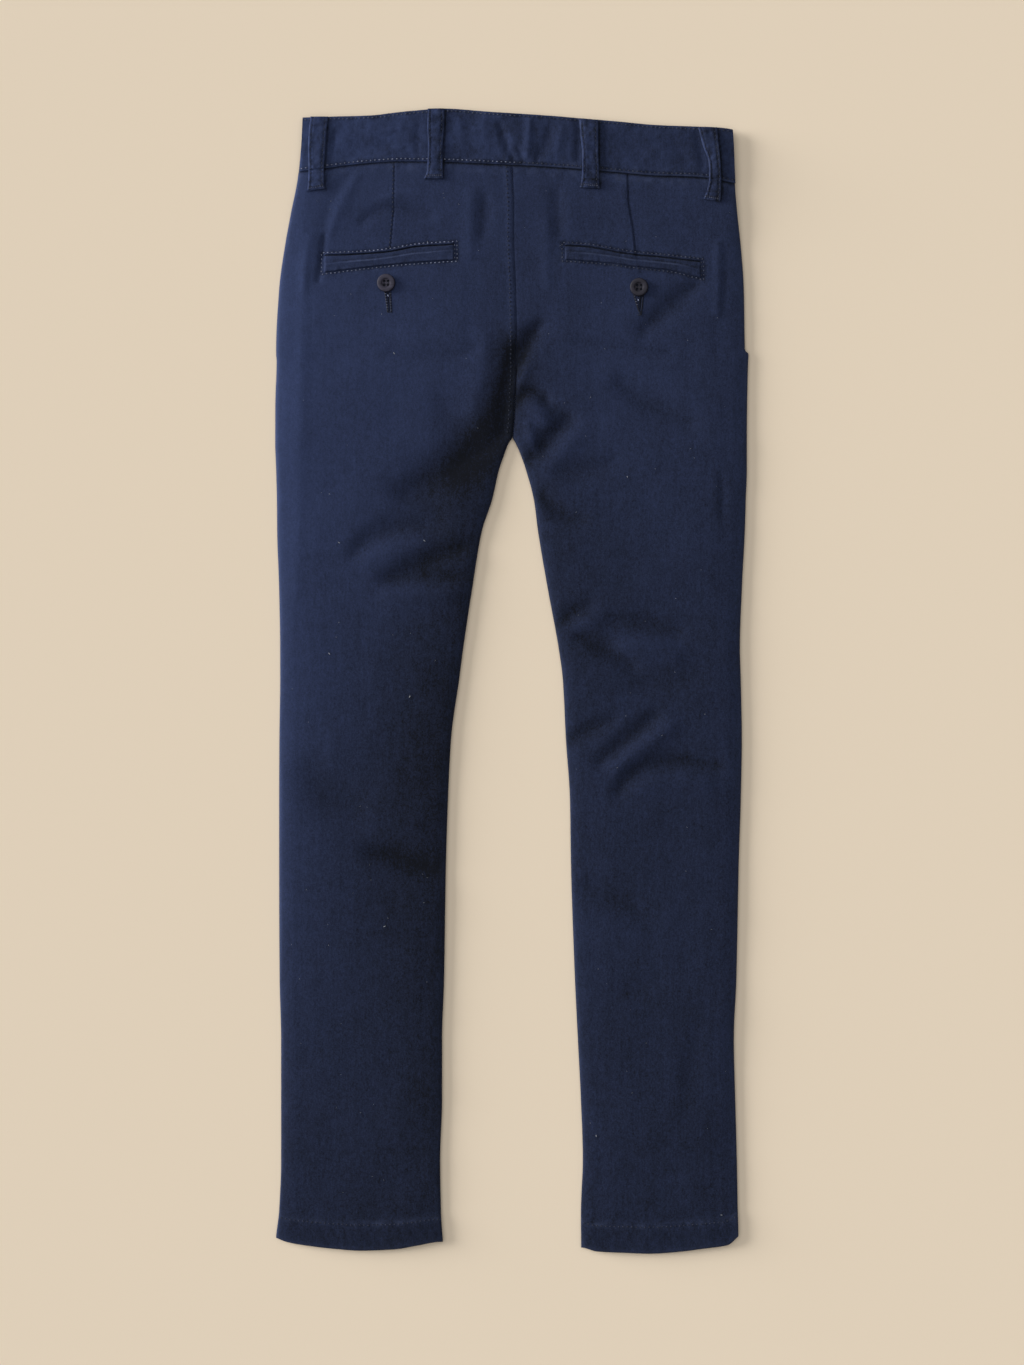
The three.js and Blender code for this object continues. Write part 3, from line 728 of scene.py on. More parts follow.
def horn_material():
    """Dark grey button resin with faint streaks, deeper where its shade attribute says so."""
    material, nodes, links, shader = principled("button_resin")
    place = object_place(nodes)
    streaks = noise_node(nodes, links, turned(nodes, links, place, 25, (1, 3.5, 1)), 160, 4, 0.6)
    shade = math_node(nodes, links, "MULTIPLY", streaks, painted(nodes, "shade"))
    links.new(blend(nodes, links, shade, HORN_DEEP, HORN_PALE), shader.inputs["Base Color"])
    rough = add_node(nodes, "ShaderNodeMapRange")
    rough.inputs["To Min"].default_value = 0.5
    rough.inputs["To Max"].default_value = 0.7
    links.new(streaks, rough.inputs["Value"])
    links.new(rough.outputs["Result"], shader.inputs["Roughness"])
    shader.inputs["Specular IOR Level"].default_value = 0.2
    return material


def lint_material():
    material, nodes, links, shader = principled("lint_white")
    place = object_place(nodes)
    clouds = noise_node(nodes, links, place, 120)
    links.new(blend(nodes, links, clouds, LINT_DULL, LINT_BRIGHT), shader.inputs["Base Color"])
    shader.inputs["Roughness"].default_value = 0.95
    return material


TWILL = twill_material("twill_navy")
TWILL_BAND = twill_material("twill_navy_crosswise", 90)
THREAD = thread_material()
HORN = horn_material()
LINT = lint_material()


# The cloth's tone down the garment, mostly painted light and shade: a base tone painted lighter towards
# the waist, painted light falling off from left to right, a painted lit strip down the left side seam, and
# painted shade beside each inner leg seam with how far it reaches
TONE_AND_LIGHT = {
    "y": [-436, -300, -100, 110, 260, 430],
    "base": [0.20, 0.25, 0.27, 0.41, 0.49, 0.48],
    "tilt": [-0.01, -0.01, 0.00, 0.09, 0.10, 0.08],
    "strip": [0.05, 0.11, 0.32, 0.25, 0.22, 0.17],
    "inner_left": [-0.06, -0.12, -0.17, -0.27, -0.10, 0],
    "inner_right": [0, 0.03, 0.01, -0.15, -0.10, 0],
    "inner_reach": [26, 30, 54, 52, 44, 40],
}
STRIP_REACH = 32.0
# A hollow from the seat down over the inner thigh, painted dark as its shade
DEEP_LINE = ((3, 248), (-7, 204), (-46, 152))
DEEP_HALF = 19.0
HOLLOW_SHADE = 0.34


def tone_and_light_at(x, y):
    """The cloth's tone with its painted light and shade, from 0 to 1: most painted light down the left
    side, most painted shade round the crotch.
    """
    to_outer, to_inner, left = edge_distances(x, y)
    out = along(TONE_AND_LIGHT, "y", "base", y) - along(TONE_AND_LIGHT, "y", "tilt", y) * x / 170
    out += np.where(left, along(TONE_AND_LIGHT, "y", "strip", y), 0) * np.exp(-to_outer / STRIP_REACH)
    inner = np.where(left, along(TONE_AND_LIGHT, "y", "inner_left", y), along(TONE_AND_LIGHT, "y", "inner_right", y))
    out += inner * bell(to_inner, along(TONE_AND_LIGHT, "y", "inner_reach", y))
    away, _, share = distance_to(bow_points(*DEEP_LINE, 10), x, y)
    strength = HOLLOW_SHADE * np.where(left, 1, 0.6) * (1 - 0.5 * ramp(share, 0.6, 1))
    return out - strength * bell(away, DEEP_HALF)


def points_of(obj):
    """A mesh's points, in metres."""
    points = np.empty(len(obj.data.vertices) * 3)
    obj.data.vertices.foreach_get("co", points)
    return points.reshape(-1, 3)


def paint(obj, name, values):
    layer = obj.data.attributes.new(name, "FLOAT", "POINT")
    layer.data.foreach_set("value", np.clip(values, 0, 1).astype(np.float32))


def paint_cloth(obj, wear_and_highlight=0.0, shade_and_mottle=0.0):
    """Write the cloth's tone with its painted light and shade, and its rubbed wear with painted highlight,
    at each vertex, the two faces alike.
    """
    points = points_of(obj) / MM
    count = len(points)
    darkened = np.ravel(shade_and_mottle) * np.ones(count // 2)
    paint(obj, "tone_and_light", tone_and_light_at(points[:, 0], points[:, 1]) - np.concatenate([darkened, darkened]))
    one_face = np.ravel(wear_and_highlight) * np.ones(count // 2)
    paint(obj, "wear_and_highlight", np.concatenate([one_face, one_face]))


def stepped(start, stretches):
    """Places from start on, through stretches that each have an end and a step."""
    places = [start]
    for end, step in stretches:
        count = max(1, round((end - places[-1]) / step))
        places += list(np.linspace(places[-1], end, count + 1)[1:])
    return np.array(places)


# Rows of a back panel: fine at the hem, the welts and the waist seam, wide along the legs
PANEL_HEIGHTS = stepped(HEM_CORNER, [
    (HEM_CORNER + 1.2, 0.3), (HEM_CORNER + 4, 0.9), (HEM_CORNER + 24, 1.25), (150, 2.7),
    (296, 1.6), (338, 0.9), (378, 1.5), (WAIST_SEAM - 1.2, 0.9), (WAIST_SEAM, 0.3),
])
FRONT_HEIGHTS = stepped(HEM_CORNER, [
    (HEM_CORNER + 1.2, 0.4), (-380, 2.6), (WAIST_SEAM - 1.2, 3.6), (WAIST_SEAM, 0.4),
])
EDGE_COLUMNS = np.array([0, 0.35, 0.8, 1.4, 2.2, 3.2, 4.4, 5.8]) / 150.0
MIDDLE_START = 7.4 / 150.0
# Where the dart and the buttonhole lie, as shares of the way from the side seam
DART_SHARES = {"left": (0.440, 0.486), "right": (0.446, 0.492)}


def edge_shares(count):
    """Shares of the way across, closer together at the two edges."""
    middle = np.linspace(MIDDLE_START, 1 - MIDDLE_START, count - 2 * len(EDGE_COLUMNS))
    return np.concatenate([EDGE_COLUMNS, middle, 1 - EDGE_COLUMNS[::-1]])


def back_shares(side):
    """Shares of the way across a back panel, closer together along its dart too."""
    first, last = DART_SHARES[side]
    middle = stepped(MIDDLE_START, [(first, 0.0107), (last, 0.0034), (1 - MIDDLE_START, 0.0107)])
    return np.concatenate([EDGE_COLUMNS, middle, 1 - EDGE_COLUMNS[::-1]])


# Half the gap left between the two panels that a centre seam joins
CLOSED_SEAM = 0.02


def panel_grid(side, shares, inset=None, sections=PANEL_HEIGHTS):
    inward = -1 if side == "left" else 1
    section = sections[:, None] * np.ones(len(shares))
    outer = outer_edge(side, sections)[:, None]
    if inset is not None:
        outer = outer - inward * inset(sections)[:, None]
    inner = inner_edge(side, sections)[:, None] + inward * CLOSED_SEAM
    share = shares if side == "left" else shares[::-1]
    x = mix(outer, inner, share)
    return x, section + bend_shift(x, section), section


def fold_shade(x, section):
    """Painted shade at the bottom of the folds, with a little painted highlight on their ridges."""
    return FOLD_SHADE * np.clip(-FOLD_GAIN * fold_height(FOLDS, x, section), -0.6, 2.6)


def loop_shadow(x, y):
    """Painted shadow in the narrow gap along the right edge of each belt loop."""
    out = np.zeros(np.shape(x))
    for loop in BACK_LOOPS:
        share = (y - loop["foot"]) / (loop_head(loop) - loop["foot"])
        right = along(loop, "v", "right", np.clip(share, 0, 1))
        within = ramp(share, -0.03, 0.02) * (1 - ramp(share, 0.97, 1.0))
        out += within * bell(x - right - 0.6, 1.0)
    return out


def worn_panel(x, y, section):
    """The dye is rubbed along hems, side seams and the stitched frames."""
    to_outer, to_inner, left = edge_distances(x, section)
    wear_and_highlight = 0.35 * np.exp(-to_outer / 2.5) + 0.3 * np.exp(-np.maximum(section - HEM_CORNER, 0) / 2)
    wear_and_highlight = wear_and_highlight + np.where(section > CROTCH, 0.04, 0.14) * np.exp(-to_inner / 3)
    patch = value_noise(x, y, 3.2, 61)
    for name in WELTS:
        away, _, _ = distance_to(frame_line(name), x, y)
        wear_and_highlight += 0.3 * patch * bell(away, 2.2)
    wear_and_highlight += (0.05 + 0.3 * patch) * bell((WAIST_SEAM - section) - 4, 3)
    wear_and_highlight += (0.16 + 0.22 * patch) * bell(section - HEM_CORNER - HEM_DEPTH + 1.5, 1.6)
    return wear_and_highlight


def back_panel(side):
    x, y, section = panel_grid(side, back_shares(side))
    high = back_level(x, section, y)
    rest = front_top(section) + SEAM_GAP
    hollow = np.clip(high - BACK_WALL - hem_at(section) - rest, 0, DEEPEST_HOLLOW)
    low = np.minimum(rest + hollow, high - 0.5)
    # Painted shade in the folds, and painted shadow where the panel dips under the waistband's edge
    shade_and_mottle = fold_shade(x, section) + 0.45 * bell(WAIST_SEAM - section, 1.3)
    # Painted shade in the grooves of the stitched frames
    for name in WELTS:
        away, _, _ = distance_to(frame_line(name), x, y)
        shade_and_mottle += 0.22 * bell(away, 1.3)
    # Painted shade along each dart's crease
    for dart in DARTS:
        away, _, _ = distance_to(np.array(dart), x, y)
        shade_and_mottle += 0.16 * bell(away, 0.8)
    # Painted shadow beside each belt loop
    shade_and_mottle += 0.4 * loop_shadow(x, y)
    wear_and_highlight = worn_panel(x, y, section)
    obj = cloth_shell("cloth_back_" + side, x, y, low, high, TWILL, wear_and_highlight=wear_and_highlight, shade_and_mottle=shade_and_mottle)
    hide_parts("back_" + side)


def mouth_inset(section):
    return MOUTH_REACH * np.clip((section - POCKET_FOOT) / (WAIST_SEAM - POCKET_FOOT), 0, 1)


# Creases of the front, which lifts off the floor a little along them
FRONT_FOLDS = [
    ((-30, 240), (-62, 222), (-104, 214), 6, 0.40),
    ((30, 244), (60, 224), (98, 218), 6, 0.38),
    ((-22, 214), (-50, 196), (-82, 190), 7, 0.45),
    ((20, 212), (44, 192), (78, 184), 7, 0.42),
    ((-150, 60), (-110, 44), (-70, 50), 7, 0.35),
    ((66, 52), (104, 40), (150, 54), 7, 0.38),
    ((-160, -40), (-118, -58), (-72, -50), 8, 0.45),
    ((-150, -78), (-112, -94), (-76, -86), 7, 0.35),
    ((62, -46), (104, -60), (154, -44), 8, 0.45),
    ((70, -92), (110, -104), (150, -90), 7, 0.32),
    ((-140, -250), (-112, -258), (-80, -250), 9, 0.28),
    ((80, -244), (112, -254), (146, -246), 9, 0.30),
    ((-120, 350), (-117, 330), (-116, 306), 5, 0.25),
    ((118, 346), (117, 328), (118, 300), 5, 0.25),
]
FRONT_REST = 0.22
FLY_WIDTH = 31.0
FLY_FOOT = 262.0
SEAM_FOOT = 252.0


def front_low(x, section):
    """The front's outer face, which lies down, with shallow creases and pressed seams."""
    to_outer, to_inner, left = edge_distances(x, section)
    out = FRONT_REST + fold_height(FRONT_FOLDS, x, section)
    out = out + 0.10 * value_noise(x, section, 17, 91) + 0.05 * value_noise(x, section, 6, 92)
    out = out - 0.22 * (1 - ramp(section, HEM_CORNER + HEM_DEPTH - 1, HEM_CORNER + HEM_DEPTH + 1))
    edge = np.minimum(to_outer, np.where(section > CROTCH, 99, to_inner))
    out = out + 0.4 * (1 - quarter_round(edge, 1.4))
    for line in front_lines():
        out = out - stitch_groove(line, x, section, 0.9, 0.2)
    out = out + np.where(section > CROTCH, 0.4 * bell(to_inner, 0.9), 0)
    return lift_at(section) + np.clip(out, 0.02, 0.75)


def fly_line(offset):
    """The curved stitching that holds the fly's facing, on the wearer's left."""
    t = np.linspace(0, 1, 12)
    straight = np.stack([-offset + 0 * t, mix(WAIST_SEAM - 1, FLY_FOOT + offset * 0.55, t)], 1)
    angle = np.linspace(0, np.pi / 2, 10)[1:]
    turn_x = -offset * np.cos(angle)
    turn_y = FLY_FOOT + offset * 0.55 - offset * 0.75 * np.sin(angle)
    return np.concatenate([straight, np.stack([turn_x + 1.5, turn_y], 1)])


def mouth_line(side, offset):
    """A row beside the slanting mouth of a front pocket."""
    inward = -1 if side == "left" else 1
    sections = np.linspace(POCKET_FOOT + 4, WAIST_SEAM, 20)
    x = outer_edge(side, sections) - inward * (mouth_inset(sections) + offset)
    return np.stack([x, sections], 1)


def front_lines():
    lines = [fly_line(FLY_WIDTH), fly_line(FLY_WIDTH - 5)]
    lines += [mouth_line(side, offset) for side in ("left", "right") for offset in (1.8, 7.0)]
    return lines


def front_seam_rows():
    """Every sewn row of the front, in true places."""
    rows = []
    for line in front_lines():
        place = np.stack([line[:, 0], line[:, 1] + bend_shift(line[:, 0], line[:, 1])], 1)
        rows.append((place, PITCH, SEWN, 0.5))
    sections = np.linspace(CROTCH + 3, SEAM_FOOT, 14)
    seam = np.stack([inner_edge("left", sections) - 3.5, sections], 1)
    rows.append((seam, PITCH, SEWN, 0.4))
    for side in ("left", "right"):
        rows.append((hem_line(side, HEM_DEPTH - 2), PITCH, SEWN, 0.3))
        inward = -1 if side == "left" else 1
        foot = (float(outer_edge(side, POCKET_FOOT + 5)) - inward * 1.5, POCKET_FOOT + 5)
        rows.append((np.array([foot, (foot[0] - inward * 8, foot[1] + 1)]), 1.3, 0.9, 0.6))
    rows.append((np.array([(-6, FLY_FOOT - 2.5), (1.5, FLY_FOOT - 7)]), 1.3, 0.9, 0.6))
    return rows


def front_level(x, y):
    """Height of the front's outer face at true places."""
    return front_low(x, section_of(x, y))


def front_band_rows():
    rows = []
    for start, end in ((-158, 11.0), (13.5, 164)):
        rows.append((seam_line(start, end, 2.2), PITCH, SEWN, 0.5))
        rows.append((top_line(start, end, 2.0), FINE_PITCH, SEWN, 0.5))
    lap = np.array([(10.2, 395), (10.2, 428)])
    rows.append((lap, FINE_PITCH, SEWN, 0.5))
    return rows


def front_loop_rows(centre):
    seam = float(seam_at(centre))
    top = float(top_at(centre))
    inset = FRONT_LOOP_WIDTH / 2 - 2.0
    rows = []
    for x in (centre - inset, centre + inset):
        rows.append((np.array([(x, seam - FRONT_LOOP_DROP + 2), (x, top - 2)]), FINE_PITCH, SEWN, 0.4))
    for y in (seam - FRONT_LOOP_DROP + 2.0, seam - FRONT_LOOP_DROP + 2.8):
        rows.append((np.array([(centre - 5, y), (centre + 5, y)]), 1.4, 0.9, 0.5))
    return rows


def front_loop_low(v):
    """Height of a front loop's outer face, from its foot to its top."""
    return (BAND_LIFT - SEAM_GAP - LOOP_THICK) * (1 - np.clip(np.sin(np.pi * v), 0, 1) ** 0.7)


def front_sewing():
    stitches("stitches_front", front_seam_rows(), front_level, radius=0.30, seed=21, under=True)

    def band_level_below(x, y):
        return np.full(np.shape(x), BAND_LIFT) + 0.15

    stitches("stitches_front_band", front_band_rows(), band_level_below, radius=0.34, seed=22, under=True)
    for name, centre in FRONT_LOOPS.items():
        seam = float(seam_at(centre))
        top = float(top_at(centre))
        foot = seam - FRONT_LOOP_DROP

        def level(x, y, foot=foot, top=top):
            return front_loop_low(np.clip((y - foot) / (top - foot), 0, 1)) + 0.22

        stitches("stitches_" + name, front_loop_rows(centre), level, radius=0.24, seed=23, under=True)


def worn_front(x, section):
    """The front's dye is rubbed along its edges and its sewn rows."""
    to_outer, to_inner, left = edge_distances(x, section)
    patch = value_noise(x, section, 3.2, 93)
    wear_and_highlight = 0.25 * np.exp(-to_outer / 2.5) + 0.12 * np.exp(-to_inner / 2.5)
    wear_and_highlight += (0.2 + 0.3 * patch) * bell(section - HEM_CORNER - HEM_DEPTH + 4, 3.5)
    for line in front_lines():
        away, _, _ = distance_to(line, x, section)
        wear_and_highlight += (0.15 + 0.3 * patch) * bell(away, 2.0)
    return wear_and_highlight


def front_panel(side):
    x, y, section = panel_grid(side, edge_shares(84), mouth_inset, FRONT_HEIGHTS)
    low = front_low(x, section)
    high = np.maximum(front_top(section), low + 0.55)
    obj = cloth_shell("cloth_front_" + side, x, y, low, high, TWILL, wear_and_highlight=worn_front(x, section))
    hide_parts("front_" + side)


def pocket_facing(side):
    inward = -1 if side == "left" else 1
    sections = np.arange(POCKET_FOOT + 6, WAIST_SEAM + 0.1, 3.1)
    sections[-1] = WAIST_SEAM
    shares = np.linspace(0, 1, 14)
    outer = outer_edge(side, sections)[:, None]
    mouth = outer - inward * (mouth_inset(sections)[:, None] - 2 * SEAM_GAP)
    share = shares if side == "left" else shares[::-1]
    x = mix(outer, mouth, share)
    section = sections[:, None] + 0 * x
    y = section + bend_shift(x, section)
    obj = cloth_shell("cloth_pocket_facing_" + side, x, y, lift_at(section), front_top(section), TWILL)
    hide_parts("pocket_facing_" + side)


def band_grid(start, end, columns):
    v = np.concatenate([[0, 0.01, 0.025], np.linspace(0.05, 0.95, 36), [0.975, 0.99, 1]])[:, None]
    left = outer_edge("left", mix(387, 429, v))
    right = outer_edge("right", mix(378, 418, v))
    x = mix(left, right, np.linspace(start, end, columns + 1))
    seam = seam_at(x) + SEAM_GAP / 2
    return x, mix(seam, top_at(x), v)


def waistband_back():
    x, y = band_grid(0, 1, 250)
    high = band_level(x, y)
    low = np.full(x.shape, BAND_LIFT + BAND_WALL + SEAM_GAP)
    seam = seam_at(x)
    top = top_at(x)
    patch = value_noise(x, y, 3.0, 62)
    wear_and_highlight = (0.14 + 0.4 * patch) * np.exp(-(top - y) / 2.0)
    wear_and_highlight += 0.3 * patch * bell(y - seam - 3.0, 3.0)
    wear_and_highlight += 0.30 * ramp(x, -10, 40) * bell(y - seam - 0.9, 0.7)
    folds = fold_height(BAND_FOLDS, x, y)
    # Painted shade at the bottoms of the band's folds, a little painted highlight on their ridges
    shade_and_mottle = FOLD_SHADE * np.clip(-folds, -1, 1.5) * 1.6
    # Painted shade in the grooves of the seam row and the top row
    shade_and_mottle += 0.20 * bell(y - seam - 2.2, 1.2) + 0.14 * bell(top - 1.9 - y, 1.1)
    # Painted shadow beside each belt loop
    shade_and_mottle += 0.4 * loop_shadow(x, y)
    cloudy = mix(1.0, 0.5, ramp(x, -20, 60))
    shade_and_mottle += cloudy * (0.13 * value_noise(x, y * 0.7, 6, 66) + 0.12 * value_noise(x, y, 2.4, 68))
    shade_and_mottle -= 0.09 * bell(x + 105, 40)
    obj = cloth_shell("cloth_waistband_back", x, y, low, high, TWILL_BAND, wear_and_highlight=wear_and_highlight, shade_and_mottle=shade_and_mottle)
    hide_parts("waistband_back")


BAND_ACROSS = 330.0
LAP_END = 0.5 + 12 / BAND_ACROSS
LAP_START = LAP_END + SEAM_GAP / BAND_ACROSS


def waistband_front(side):
    start, end = (0, LAP_END) if side == "left" else (LAP_START, 1)
    x, y = band_grid(start, end, 120)
    seam = seam_at(x)
    top = top_at(x)
    edge = np.minimum(top - y, y - seam)
    rounded = 0.7 * (1 - quarter_round(edge, 1.6))
    sewn = 0.22 * (bell(y - seam - 2.2, 0.9) + bell(top - 2.0 - y, 0.9))
    dents = 0.10 * (1 + value_noise(x, y * 0.6, 11, 94)) * ramp(edge, 0, 4)
    low = BAND_LIFT + rounded + sewn + dents
    high = np.full(x.shape, BAND_LIFT + BAND_WALL)
    wear_and_highlight = 0.25 * np.exp(-edge / 1.5)
    obj = cloth_shell("cloth_waistband_front_" + side, x, y, low, high, TWILL_BAND, wear_and_highlight=wear_and_highlight)
    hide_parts("waistband_front_" + side)


# How high a loop's foot is doubled, and the grid of its cloth
LOOP_FOLD = 6.5
LOOP_COLUMNS = 20
LOOP_ROWS = 96
LOOP_SEWN_COLUMN = 3


def loop_head(loop):
    """Height of a loop's upper end, just under the waistband's top edge."""
    return float(top_at(loop["right"][-1])) - 0.2


def loop_grid(loop, columns, rows):
    """The loop's cloth: it stands off the band, lies down at both ends and wanders a little."""
    v = np.linspace(0, 1, rows + 1)[:, None]
    head = loop_head(loop)
    y = mix(loop["foot"], head, v)
    left = along(loop, "v", "left", v)
    right = along(loop, "v", "right", v)
    turn = math.radians(loop["turn"]) * np.sin(np.pi * v) ** 2
    share = np.linspace(0, 1, columns + 1) - 0.5
    width = right - left
    across = share * width
    x = (left + right) / 2 + across
    y = y + loop["slant"] * share * (1 - v) ** 6
    arch = LOOP_BOW * np.sin(np.pi * v) ** 0.7
    stand = SEAM_GAP + arch + (across + width / 2) * np.sin(turn)
    return x, y, surface(x, np.minimum(y, head - 1.0)) + stand, across, width


def loop_top(loop, x, y, low, across, width):
    """The loop's outer face: rounded edges, sewn grooves, a doubled foot and small dents."""
    seed = 80 + int(loop["name"][-1])
    side = width / 2 - np.abs(across)
    head = loop_head(loop)
    from_foot = y - loop["foot"]
    end = np.minimum(from_foot, head - y)
    rounded = 0.55 * (1 - quarter_round(np.minimum(side, end + 0.2), 1.1))
    high = low + LOOP_THICK - rounded - 0.26 * bell(side - 2.2, 0.6)
    high = high + 0.55 * (1 - ramp(from_foot, LOOP_FOLD - 0.8, LOOP_FOLD + 0.4))
    high = high + 0.24 * value_noise(x, y, 3.0, seed + 20) + 0.22 * value_noise(x, y, 7, seed + 30)
    return np.maximum(high, low + 0.45), side


def belt_loop(loop):
    x, y, low, across, width = loop_grid(loop, LOOP_COLUMNS, LOOP_ROWS)
    high, side = loop_top(loop, x, y, low, across, width)
    patch = value_noise(x, y, 2.6, 63)
    wear_and_highlight = (0.10 + 0.35 * patch) * bell(side - 0.4, 0.7) + 0.12 * np.maximum(patch, 0)
    wear_and_highlight += (0.06 + 0.4 * patch) * bell(y - loop["foot"] - 0.8, 0.8)
    mottle = value_noise(x, y * 0.7, 2.4, 65) + 0.6 * value_noise(x, y * 0.8, 1.5, 67)
    # Painted shade: darker towards the right edge, away from the light, in a line along each sewn groove
    # and at the top of the doubled foot; paler just inside each edge; the mottle is the cloth's own
    shade_and_mottle = 0.02 + 0.19 * mottle + 0.10 * ramp(across / width, -0.1, 0.5)
    shade_and_mottle = shade_and_mottle + 0.24 * bell(side - 1.9, 0.7) - 0.12 * bell(side - 0.7, 0.7)
    shade_and_mottle = shade_and_mottle + 0.2 * bell(y - loop["foot"] - LOOP_FOLD, 0.9)
    obj = cloth_shell("cloth_" + loop["name"], x, y, low, high, TWILL, wear_and_highlight=wear_and_highlight, shade_and_mottle=shade_and_mottle)
    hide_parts(loop["name"])


def front_loop(name, centre):
    v = np.linspace(0, 1, 61)[:, None]
    seam = float(seam_at(centre))
    top = float(top_at(centre))
    across = np.linspace(-0.5, 0.5, 21) * FRONT_LOOP_WIDTH
    x = centre + across + 0 * v
    y = mix(seam - FRONT_LOOP_DROP, top, v) + 0 * x
    side = FRONT_LOOP_WIDTH / 2 - np.abs(across) + 0 * v
    rounded = 0.4 * (1 - quarter_round(side, 1.1))
    low = front_loop_low(v) + rounded + 0.14 * bell(side - 2.0, 0.6)
    high = front_loop_low(v) + LOOP_THICK + 0 * x
    obj = cloth_shell("cloth_" + name, x, y, low, high, TWILL, wear_and_highlight=0.25 * np.exp(-side / 1.0))
    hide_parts(name)


WELT_LIP = 1.9
WELT_SLIT = 0.55
# Where the two strips meet, as a share of the way up to the mouth at the left and the right end
WELT_RIDGE = {"welt_left": (0.48, 0.62), "welt_right": (0.56, 0.52)}


def welt(name):
    """Two narrow strips in a stitched window, under a lip whose slit is the pocket's mouth."""
    table = WELTS[name]
    xs = np.linspace(table["x"][0] + 2.2, table["x"][-1] - 2.2, 150)
    mouth = along(table, "x", "mouth", xs)
    foot = along(table, "x", "foot", xs) + 1.2
    top = mouth + WELT_LIP
    v = np.concatenate([np.linspace(0, 0.12, 5), np.linspace(0.15, 0.72, 18), np.linspace(0.74, 1, 18)])
    y = mix(foot, top, v[:, None])
    x = xs + 0 * y
    base = surface(x, y)
    x_wave = value_noise(x, 0 * x, 9, 74)
    from_mouth = y - mouth - 0.25 * x_wave
    first, last = WELT_RIDGE[name]
    rise = mix(first, last, (xs - xs[0]) / (xs[-1] - xs[0]))
    from_middle = y - mix(foot, mouth, rise) - 0.3 * value_noise(x, 0 * x, 13, 75)
    slit = np.exp(-(from_mouth / WELT_SLIT) ** 4)
    strips = WELT_THICK * mix(1.15, 0.62, ramp(from_middle, -0.5, 0.5))
    strips = strips + 0.15 * bell(from_middle + 0.8, 0.7)
    lip = 0.90 * ramp(from_mouth, 0, 0.9)
    thick = np.maximum(np.where(from_mouth > 0, lip, strips) * (1 - 0.92 * slit), 0.05)
    edge = np.minimum(top - y, y - foot)
    ends = np.minimum(x - xs[0], xs[-1] - x)
    rounded = 1 - np.clip(np.minimum(edge, ends) / 0.9, 0, 1)
    thick = thick * np.sqrt(np.clip(1 - rounded ** 2, 0.01, 1))
    thick = thick + 0.07 * value_noise(x, y, 4, 73) + 0.08 * value_noise(x, y * 0.3, 2.6, 76)
    high = base + SEAM_GAP + np.maximum(thick, 0.03)
    patch = value_noise(x, y, 2.6, 64)
    wear_and_highlight = (0.06 + 0.2 * patch) * np.exp(-np.minimum(edge, ends) / 1.0) + 0.03
    # Paler along the ridge where the two strips meet: edge wear with a painted highlight
    wear_and_highlight += (0.42 + 0.25 * patch) * bell(from_middle + 0.1, 0.6) * ramp(ends, 6, 22)
    # Painted shadow in the mouth's slit, a slightly deeper tone all over, and a darker line just above the
    # ridge as painted shade
    shade_and_mottle = 0.5 * slit + 0.10 + 0.14 * bell(from_middle - 1.1, 0.6)
    shade_and_mottle += 0.06 * value_noise(x * 0.3, y, 1.6, 77)
    obj = cloth_shell("cloth_" + name, x, y, base + 0.5 * SEAM_GAP, high, TWILL_BAND, wear_and_highlight=wear_and_highlight, shade_and_mottle=shade_and_mottle)
    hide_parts(name)


BUTTON_TILTS = {"back_button_left": (0.0, 0.02), "back_button_right": (0.06, 0.05)}
# How pale the top of each button is; the right button is kept darker than the left as painted shade, away
# from the light
BUTTON_SHADES = {"back_button_left": 0.85, "back_button_right": 0.32, "waist_button": 0.6}
# Radius and thickness of a pocket button, and radius and place of the waist button
POCKET_BUTTON = (6.9, 2.4)
WAIST_BUTTON_RADIUS = 7.5
WAIST_BUTTON_PLACE = (3.0, 411.0)
BUTTON_HOLE_SPREAD = 1.4
BUTTON_HOLE_RADIUS = 1.0
BUTTON_DISH = 0.48
# How far a button leans, for each millimetre of its height
BUTTON_LEAN = (-0.24, 0.20)


def turned_body(profile, sides):
    """A closed body turned about Z from a profile that starts and ends on the axis."""
    angles = np.linspace(0, 2 * np.pi, sides, endpoint=False)
    rings = [(r * np.cos(a), r * np.sin(a), z) for r, z in profile[1:-1] for a in angles]
    vertices = [(0, 0, profile[0][1])] + rings + [(0, 0, profile[-1][1])]
    count = len(profile) - 2
    faces = []
    for k in range(sides):
        n = (k + 1) % sides
        faces.append((0, 1 + n, 1 + k))
        for i in range(count - 1):
            a = 1 + i * sides
            faces.append((a + k, a + n, a + sides + n, a + sides + k))
        a = 1 + (count - 1) * sides
        faces.append((a + k, a + n, len(vertices) - 1))
    return np.array(vertices), faces


